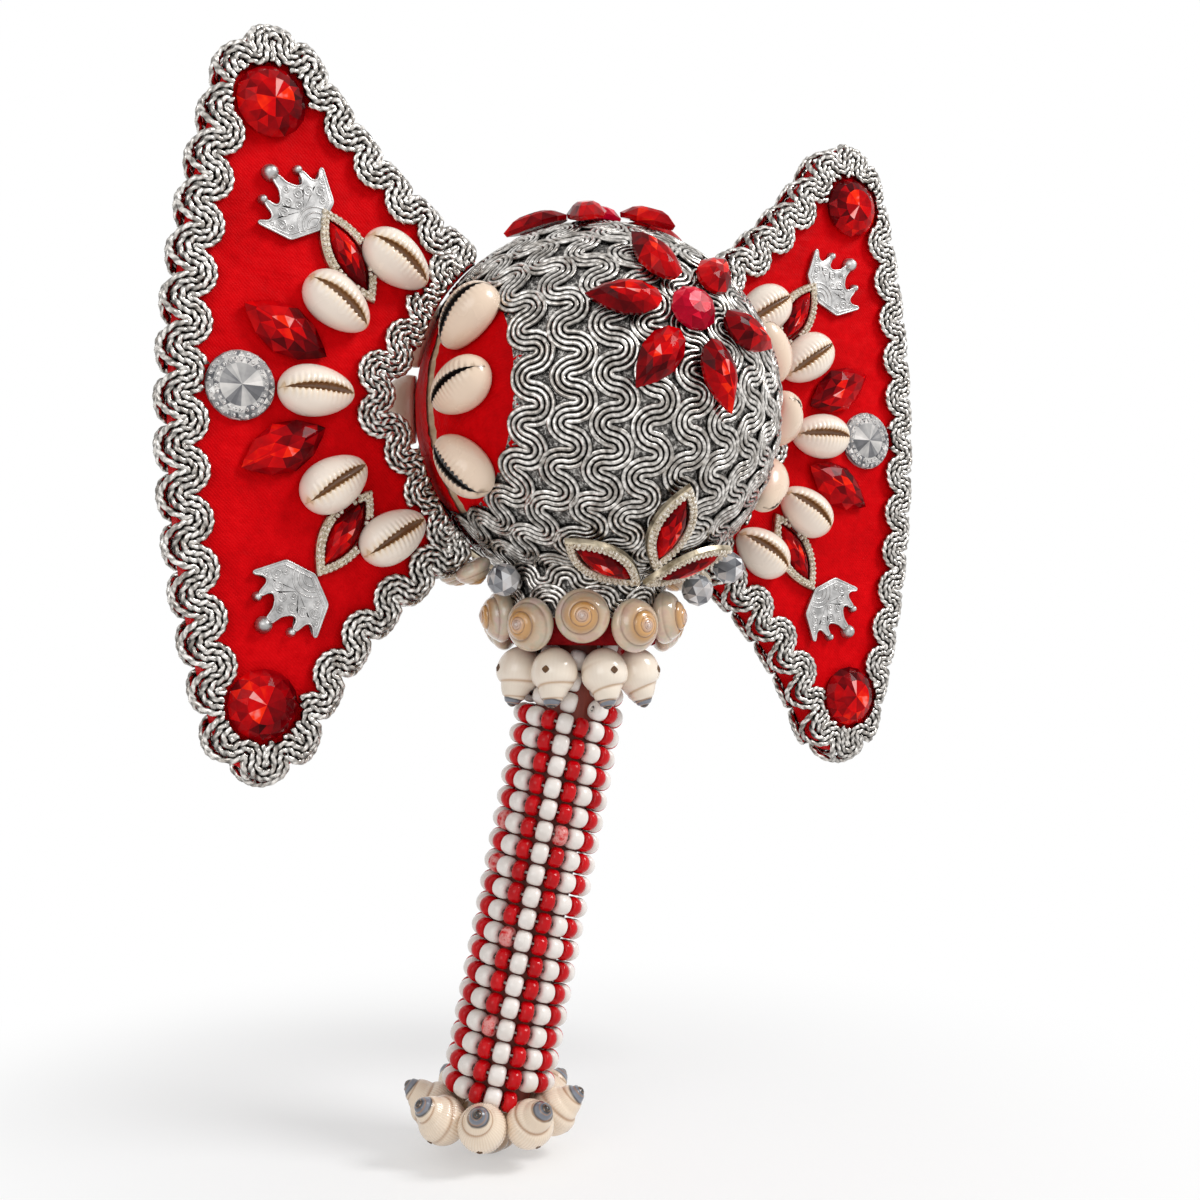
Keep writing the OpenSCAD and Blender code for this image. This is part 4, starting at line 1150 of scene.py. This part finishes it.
def crown(b, place):
    line = np.array(CROWN_HALF + [(-x, y) for x, y in CROWN_HALF[:0:-1]])
    line = resample(close(line), 0.4)[0][:-1]
    n = len(line)
    for _ in range(3):
        line = (np.roll(line, 1, 0) + 2 * line + np.roll(line, -1, 0)) / 4
    out = -left_of(chords(line))
    core = np.array([0, -3.4])
    rings = [(line, 0.0), (line + out * 0.1, 0.5), (line, CROWN_T), (line - out * 0.2, 1.42)]
    rings += [(core + (line - out * 0.2 - core) * share, CROWN_T) for share in (0.8, 0.6, 0.4, 0.2)]
    end = len(rings) * n
    v = np.concatenate([at_height(q, z) for q, z in rings] + [[[*core, CROWN_T], [*core, 0.0]]])
    f = [ring_faces(len(rings), n), fan(np.arange(n) + end - n, end), fan(np.arange(n), end + 1, True)]
    b.add(v, f, place=place)
    emboss(b, place, close(line), 0.3, 1.32, closed=True)
    for x, y, r, h in ((-6.4, 5.2, 1.3, 2.4), (6.4, 5.2, 1.3, 2.4), (0, 9.0, 2.3, 3.2)):
        v, f = dome(r, h)
        b.add(v + [x, y, 0], f, place=place)
    arch = at_angle(np.linspace(deg(12), deg(168), 30))
    for r in (2.2, 3.6, 5.0):
        emboss(b, place, r * arch + CROWN_FOOT, 0.26)
    a = np.linspace(0, 3.2 * np.pi, 40)
    scroll = at_angle(a) * (1.5 * (1 - a / (4.2 * np.pi)))[:, None]
    for side in (-1, 1):
        elbow = (side * 7.4, -5.6)
        emboss(b, place, [CROWN_FOOT, elbow], 0.28)
        emboss(b, place, [elbow, (side * 10.6, 0.2)], 0.22)
        for at in ((7.2, -2.6), (4.6, -0.6), (2.0, 0.6)):
            emboss(b, place, (scroll + at) * [side, 1], 0.22)
    loop = 0.8 * at_angle(np.linspace(0, 2 * np.pi, 20))
    for at in ((0, -1.6), (0, 3.4), (-6.0, -4.6), (6.0, -4.6), (-9.4, -0.9), (9.4, -0.9)):
        emboss(b, place, loop + at, 0.2, closed=True)
        v, f = dome(0.42, 0.4, 8, 3)
        b.add(v + [*at, 1.26], f, place=place)


def crowns(b, side, face, place):
    for s in (1, -1):
        crown(b, place @ move(CROWN_AT[0], s * CROWN_AT[1] + CROWN_RISE, FACE_H) @ turn("Z", 45 * s - 90))


dress_blades("crowns", "embossed", ["silver_charm"], "silver_charm", crowns)


# Cowries: toothed lips round an open slit
def cowrie(seed, gap):
    g = np.random.default_rng(seed)
    l, w = COWRIE_L * g.uniform(0.95, 1.0), COWRIE_W * g.uniform(0.95, 1.0)
    pitch = g.uniform(1.3, 1.5)
    axis = COWRIE_H - w / 2
    nx, rows = 112, 13
    even = np.linspace(-0.999, 0.999, nx)
    x = l / 2 * (0.35 * np.sin(np.linspace(-0.4985, 0.4985, nx) * np.pi) + 0.65 * even)
    u = 2 * x / l
    ry = w / 2 * np.sqrt(np.maximum(1e-5, 1 - u * u)) * (1 + 0.16 * u)
    taper = np.clip(1 - (np.abs(x) / (0.46 * l)) ** 3, 0.0, 1)
    bend = 0.75 * np.cos(np.pi * u / 2) - 0.25
    half = gap * taper * (1 - 0.3 * u) + 0.02
    depth = 2.8 * taper + 0.02
    lowest = np.where(ry > axis, np.pi - np.arccos(np.clip(axis / ry, -1, 1)), np.pi * 0.97)
    lips = []
    for s, shift, deep in ((1, 0.6, 0.24), (-1, 2.4, 0.16)):
        tooth = np.cos(2 * np.pi * x / pitch + shift)
        lip = half * (1 - 0.34 * np.maximum(0, tooth))
        # Each row along the shell holds its points and tints, from the slit outwards
        side = [(np.stack([x, s * y + bend, axis + ry - z * depth], 1), np.full(nx, t)) for y, z, t in (
            (half * 0.35, 1, 0.0), (half * 1.05, 0.7, 0.02), (lip * 0.85, 0.38, 0.12), (lip, 0.16, 0.3))]
        for i in range(rows):
            share = (i + 0.35) / (rows - 0.65)
            fade = max(0.0, 1 - share / 0.36)
            groove = deep * tooth * fade * taper ** 0.5
            rad = ry + groove - 0.5 * math.exp(-(share / 0.1) ** 2) * taper
            y = rad * np.sin(lowest * share)
            if i < 3:
                y = np.maximum(y, lip + 0.12 * (i + 1))
            z = np.maximum(0.0, axis + rad * np.cos(lowest * share))
            t = 0.52 + 0.42 * min(1, share / 0.4) + 0.15 * tooth * fade - 0.12 * (np.abs(u) > 0.9)
            side.append((np.stack([x, s * y + bend * max(0.0, 1 - share * 2.2), z], 1), np.clip(t, 0, 1)))
        lips.append(side)
    points, tints = zip(*lips[0][::-1], *lips[1])
    k = len(points)
    v = np.stack(points, 1).reshape(-1, 3)
    v = np.concatenate([v, [v[:k].mean(0), v[-k:].mean(0)]])
    f = [ring_faces(nx, k)[:, ::-1], *end_fans(nx, k)]
    return v, f, np.concatenate([np.stack(tints, 1).ravel(), [0.6, 0.6]])


def blade_cowries(b, side, face, place):
    for i, (u, v, a) in enumerate(COWRIES_AT):
        made = cowrie(200 + i + 10 * (face + 1) + 50 * (side + 1), 1.25)
        b.add(*made, place=place @ move(u, v, FACE_H) @ turn("Z", a))


def make_gourd_cowries():
    b = Build()
    for side in SIDES.values():
        for i, (az, el, a, gap) in enumerate(GOURD_COWRIES):
            made = cowrie(300 + i + 20 * (side + 1), gap)
            b.add(*made, place=on_gourd(side * az, el, SATIN_R + SEAT, -side * a))
    b.piece("gourd_cowries", "toothed", ["cowrie_shaded_slit"], "cowrie_shell")


dress_blades("cowries", "toothed", ["cowrie"], "cowrie_shell", blade_cowries)
make_gourd_cowries()


# Whorled shells, apex at the origin towards +Z; a form is (depth, radius)
TOP_FORM = [(0, 0.05), (0.5, 1.6), (1.2, 2.9), (2.3, 4.4), (3.6, 5.8), (5.0, 6.9), (6.2, 7.4),
            (7.4, 7.25), (8.5, 6.2), (9.3, 4.0), (TOP_H, 0.05)]
SNAIL_FORM = [(0, 0.2), (0.25, 0.9), (0.8, 1.35), (0.95, 1.9), (2.3, 2.55), (2.5, 2.95), (4.0, 3.7),
              (5.6, 4.3), (5.9, 4.75), (7.2, 5.75), (8.6, 6.3), (10.2, 6.4), (12.2, 6.1), (14.2, 5.1),
              (15.8, 3.5), (16.7, 1.8), (SNAIL_L, 0.3)]
GLOBE_L = 15.4
GLOBE_FORM = [(0, 0.1), (0.5, 1.3), (1.2, 2.3), (2.2, 3.5), (3.6, 4.9), (5.4, 6.4), (7.4, 7.4),
              (9.4, 7.7), (11.4, 7.2), (13.2, 5.8), (14.6, 3.6), (GLOBE_L, 0.3)]


def whorled(form, suture, ratio, bulge=0.3, groove=0.16, n=72, scale=1.0, ribs=0):
    """A shell turned about its axis; the suture winds inwards from that length along the form."""
    p = np.array(form, float)
    for _ in range(3):
        cut = np.stack([0.75 * p[:-1] + 0.25 * p[1:], 0.25 * p[:-1] + 0.75 * p[1:]], 1).reshape(-1, 2)
        p = np.concatenate([p[:1], cut, p[-1:]])
    rows = 70
    length = along(p)
    s = length[-1] * np.linspace(0.004, 1, rows) ** 1.35
    d, r = between(s, length, p).T
    t = unit(np.stack([np.gradient(d, s), np.gradient(r, s)], 1))
    d, r, s = d[:, None], r[:, None], s[:, None]
    phi = angles(n)
    frac = (np.log(s / suture) / math.log(1 / ratio) + phi / (2 * np.pi)) % 1
    near = np.minimum(frac, 1 - frac)
    fade = np.clip((1.9 * suture - s) / (0.7 * suture), 0, 1) * np.clip(s / (0.1 * suture), 0, 1)
    off = bulge * (np.sin(np.pi * frac) ** 0.6 - 0.75) - groove * np.exp(-(near / 0.09) ** 2)
    off = fade * np.minimum(1, s / suture) * off
    wide = 0.045 + 0.05 * np.minimum(1, 0.3 * suture / s)
    line = 1 - 0.85 * fade * np.exp(-(near / wide) ** 2)
    if ribs:
        off = off + 0.07 * np.sin(ribs * phi) * np.clip((s - 0.35 * suture) / suture, 0, 1)
    rad = np.maximum(0.02, r + t[:, :1] * off)
    z = t[:, 1:] * off - d
    v = np.concatenate([rad[..., None] * at_angle(phi), z[..., None]], -1).reshape(-1, 3)
    v = np.concatenate([v, [[0, 0, 0], [0, 0, -d[-1, 0]]]]) * scale
    tint = np.concatenate([np.repeat(s / s[-1], n), [0, 1]])
    grain = np.arange(n) * (ribs or 40) / n + 0.35 * np.arange(rows - 1)[:, None] / rows
    tone = np.concatenate([grain.ravel() % 1, np.zeros(2 * n)])
    f = [ring_faces(rows, n)[:, ::-1], *end_fans(rows, n)]
    return v, f, tint, tone, np.concatenate([line.ravel(), [1, 1]])


def top_shell(scale=1.0):
    return whorled(TOP_FORM, 5.5, 0.53, 0.35, 0.22, scale=scale)


def add_shell(b, made, place):
    v, f, tint, tone, line = made
    b.add(v, f, tint, tone, place=place, line=line)


def hole(b, place, r):
    """The bore of a drilled shell, just proud of its skin, dark as painted shade of the hollow inside."""
    n, power = 24, 1.3
    ring = at_angle(angles(n))
    ring = ring * r / (np.abs(ring) ** power).sum(1, keepdims=True) ** (1 / power)
    v = [at_height(ring * k, z) for k, z in ((1, -0.6), (1, 0.0), (0.75, -0.03))]
    v = np.concatenate(v + [[[0, 0, -0.1]]])
    b.add(v, [ring_faces(3, n), fan(np.arange(n) + 2 * n, 3 * n)], mat=1, place=place)


def ring_places(count, r, start):
    for i in range(count):
        yield i, turn("Z", start + 360 * i / count) @ move(r, 0, 0)


def make_top_shells():
    b = Build()
    for i, m in ring_places(TOP_SHELLS, COLLAR_R + SEAT, 25):
        centre = at_neck(TOP_DROP + TOP_STAGGER * (i % 2 * 2 - 1))
        add_shell(b, top_shell(), centre @ m @ turn("Y", 90) @ move(0, 0, TOP_H) @ turn("Z", 67 * i))
    b.piece("top_shell_ring", "whorled", ["pearl_shell"], "pearl_shell")


def make_neck_snails():
    b = Build()
    centre = at_neck(COLLAR_DROP + SEAT + SNAIL_L / 2) @ move(-SNAIL_L / 2 * math.sin(deg(LEAN)), 0, 0)
    for i, m in ring_places(NECK_SNAILS, NECK_SNAIL_R, NECK_SNAIL_A):
        p = centre @ m @ turn("Y", 180 - NECK_TILT)
        spin = turn("Z", 150 + 25 * math.sin(2.3 * i))
        add_shell(b, whorled(SNAIL_FORM, 8.1, 0.46), p @ move(0, 0, SNAIL_L / 2) @ spin)
        hole(b, p @ turn("Y", -90) @ move(-1.0, 0, SNAIL_W / 2 + 0.12), 1.05)
    b.piece("neck_snails", "whorled", ["white_shell", "drilled_hole"], "white_shell")


def make_end_snails():
    b = Build()
    c, s = at_angle(deg(END_TILT))
    for i, m in ring_places(8, 9 + SEAT + SNAIL_L / 2 * s + 0.22 * SNAIL_W * c, 10):
        p = level_at(END_S) @ m @ turn("Y", END_TILT)
        made = whorled(SNAIL_FORM, 8.1, 0.46, n=192, ribs=48)
        add_shell(b, made, p @ move(0, 0, SNAIL_L / 2) @ turn("Z", 20 + 50 * i))
        hole(b, p @ turn("Y", 90) @ move(1.6, 0, SNAIL_W / 2 + 0.1), 0.8)
    b.piece("end_snails", "whorled", ["banded_shell", "drilled_hole"], "banded_shell")


def make_base_shell():
    b = Build()
    place = on_handle() @ move(0, 0, -STICK_L - SEAT - BASE_L / 2) @ turn("Z", -119) @ turn("Y", 125)
    made = whorled(GLOBE_FORM, 8.0, 0.48, scale=BASE_W / GLOBE_L)
    add_shell(b, made, place @ move(0, 0, BASE_W / 2))
    b.piece("base_shell", "whorled", ["brown_shell"], "brown_shell")


def make_side_shells():
    b = Build()
    waist = HALVES[-1]
    reach = waist.r - TRIM_HALF_W - TRIM_SWING + TRIM_INSET - SEAT
    rise = math.sqrt(reach ** 2 - (SIDE_U - waist.c[0]) ** 2)
    aim = math.degrees(heading((waist.c[0] - SIDE_U, -rise)))
    for side in SIDES.values():
        for i, depth in enumerate((-1, 1)):
            at = on_blade(side, FRONT) @ move(SIDE_U, rise - waist.c[1], depth * (SIDE_D / 2 + SEAT))
            place = at @ turn("Z", aim) @ turn("Y", 90) @ move(0, 0, SIDE_H)
            add_shell(b, top_shell(0.72), place @ turn("Z", 90 * i + 40 * side))
    b.piece("side_shells", "whorled", ["pearl_shell"], "pearl_shell")


make_top_shells()
make_neck_snails()
make_end_snails()
make_base_shell()
make_side_shells()


# Crystal beads: rows of facets round their axis, closed at both ends
def rondelle(d, seed):
    n = 10
    levels = ((0.22, -0.46), (0.62, -0.36), (0.94, -0.14), (0.94, 0.14), (0.62, 0.36), (0.22, 0.46))
    rings = [at_height(disc(d * s, n, 0.5 * (i % 2)), d * z) for i, (s, z) in enumerate(levels)]
    v = np.concatenate(rings + [[[0, 0, d * levels[0][1]], [0, 0, d * levels[-1][1]]]])
    tri = facets([i % 2 for i in range(len(levels))], n)
    return v, tri, np.clip(np.random.default_rng(seed).normal(0.5, 0.3, len(tri)), 0, 1)


def make_crystal_beads():
    b = Build()
    for i, (az, el) in enumerate(CRYSTAL_BEADS):
        place = on_gourd(az, el, SEAT_R + CRYSTAL_D / 2) @ turn("X", 70 + 30 * i)
        add_stone(b, rondelle(CRYSTAL_D, 400 + i), place)
    b.piece("crystal_beads", "cut", ["crystal_bead"], "clear_crystal", False)


# The bead string: a thread of two plies, and barrels with a bore, white and red in turn
BARREL = [(-0.44, 0.27), (-0.5, 0.30), (-0.5, 0.52), (-0.465, 0.74), (-0.38, 0.90), (-0.2, 0.985),
          (0.0, 1.0), (0.2, 0.985), (0.38, 0.90), (0.465, 0.74), (0.5, 0.52), (0.5, 0.30), (0.44, 0.27)]


def make_thread():
    a = np.linspace(0, 2 * np.pi * TURNS, TURNS * 130)
    out = at_angle(a - np.pi / 2)
    p = at_height(WINDING_R * out, -WINDING_START - BEAD_PITCH * a / (2 * np.pi))
    s = angles(8)
    section = at_angle(s) * (0.45 * (0.8 + 0.2 * np.cos(2 * s)))[:, None]
    b = Build()
    made = tube(p, at_height(out, 0), section, 0.5 + 0.5 * np.cos(2 * s), a * WINDING_R / 0.9)
    b.add(*made, place=on_handle())
    b.piece("bead_thread", "plies", ["thread"], "thread")


def make_beads():
    pair = 4 * math.pi * WINDING_R / BEADS_PER_TURN
    slope = math.degrees(math.atan(BEAD_PITCH / (2 * math.pi * WINDING_R)))
    g = np.random.default_rng(5)
    ring = at_angle(angles(22))
    white, red = Build(), Build()
    for i in range(-3 * BEADS_PER_TURN, BEADS_PER_TURN * (TURNS + 1)):
        a = 360 * (i + 0.5) / BEADS_PER_TURN
        is_red = i % 2
        l = pair * (RED_SHARE if is_red else WHITE_SHARE) * g.uniform(0.97, 1.0)
        r = BEAD_D / 2 * g.uniform(0.99, 1.0)
        reach = WINDING_R
        if i < 0:
            # Rows above the winding, left out where a neck snail is in the way
            step = 360 / NECK_SNAILS
            turned = (a - 90 - NECK_SNAIL_A) % step
            if min(turned, step - turned) < 8:
                continue
            reach -= 1.0
        v = np.concatenate([at_height(ring * r * q, l * z) for z, q in BARREL])
        place = on_handle() @ move(0, 0, -WINDING_START - BEAD_PITCH * a / 360) @ turn("Z", a)
        place = place @ move(0, -reach, 0) @ turn("Y", 90 + slope + g.normal(0, 1.5))
        place = place @ turn("X", g.normal(0, 1.5))
        pale = int(is_red and g.random() < 0.06)
        (red if is_red else white).add(v, ring_faces(len(BARREL), len(ring)), mat=pale, place=place)
    white.piece("white_beads", "barrels", ["white_bead"], "white_bead")
    red.piece("red_beads", "barrels", ["red_bead", "pale_bead"], "red_bead")


make_crystal_beads()
make_thread()
make_beads()

# Finishes of the solids that stay
for mat, nodes in {
    "gourd_skin": ("gourd_shell",), "stick_wood": ("handle_stick",),
    "board_satin": ("left_board", "right_board"),
    "seed": ("seeds_front", "seeds_back", "seeds_left", "seeds_right"),
}.items():
    for node in nodes:
        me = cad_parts[node].data
        me.materials.clear()
        me.materials.append(MATS[mat])


# Floor, light and camera
def stand(name, data, at, axes):
    """Puts an object in the scene, its axes as columns."""
    o = bpy.data.objects.new(name, data)
    bpy.context.scene.collection.objects.link(o)
    m = move(*at)
    m[:3, :3] = axes
    o.matrix_world = Matrix(m.tolist())
    return o


def make_floor():
    """White floor, seen brighter away from the object."""
    me = bpy.data.meshes.new("floor")
    s = 30.0
    me.from_pydata([(-s, -s, 0), (s, -s, 0), (s, s, 0), (-s, s, 0)], [], [(0, 1, 2, 3)])
    m = Mat("floor", Roughness=0.9, Specular_IOR_Level=0.0)
    m.colour(m.ramp(m.noise(3, 2), [(0.3, 0.93, 0.93, 0.93), (0.7, 0.95, 0.95, 0.95)]))
    white = m.node("Emission", Strength=1.0)
    far = m.node("VectorMath", operation="LENGTH")
    m.link(m.coords(), far.inputs[0])
    away = m.node("MapRange", interpolation_type="SMOOTHSTEP", From_Min=0.07, From_Max=0.24, To_Min=0.45)
    m.link(far.outputs["Value"], away.inputs["Value"])
    both = m.node("MixShader")
    m.link(m.math("MULTIPLY", m.seen(), away.outputs["Result"]), both.inputs[0])
    m.link(m.p.outputs[0], both.inputs[1])
    m.link(white.outputs[0], both.inputs[2])
    m.link(both.outputs[0], m.nodes["Material Output"].inputs["Surface"])
    me.materials.append(m.m)
    stand("floor", me, (0, 0, 0), np.eye(3))


def make_world():
    world = bpy.data.worlds.new("studio")
    bpy.context.scene.world = world
    world.use_nodes = True
    w = Nodes(world.node_tree)
    level = w.node("MapRange", To_Min=0.5, To_Max=1.0)
    w.link(w.seen(), level.inputs["Value"])
    background = w.nodes["Background"].inputs
    background["Color"].default_value = (1, 1, 1, 1)
    w.link(level.outputs["Result"], background["Strength"])


def lamp(name, at, size, power):
    d = bpy.data.lights.new(name, "AREA")
    d.shape, d.size, d.energy = "DISK", size, power
    z = unit(np.array(at) - [0, 0, 0.18])
    x = unit(np.cross(UP, z))
    stand(name, d, at, np.stack([x, np.cross(z, x), z], 1))


def make_camera():
    """The photo's camera, solved from the matching ornaments of the two blades."""
    yaw, pitch, roll = 29.0, -1.298, 0.527
    r = turn("Z", roll) @ turn("X", pitch + 90) @ turn("Z", yaw)
    d = bpy.data.cameras.new("camera")
    d.lens, d.sensor_width, d.sensor_fit = 45, 36, "HORIZONTAL"
    d.clip_start, d.clip_end = 0.01, 100
    at = (-0.2049, -0.3726, GOURD_Z * 0.001 - 0.0633)
    bpy.context.scene.camera = stand("camera", d, at, r[:3, :3].T * [1, -1, -1])


make_floor()
make_world()
lamp("key", (0.75, -0.75, 1.15), 0.55, 13)
lamp("fill", (-1.1, -0.9, 0.6), 0.9, 4)
make_camera()
bpy.context.scene.view_settings.view_transform = "Standard"
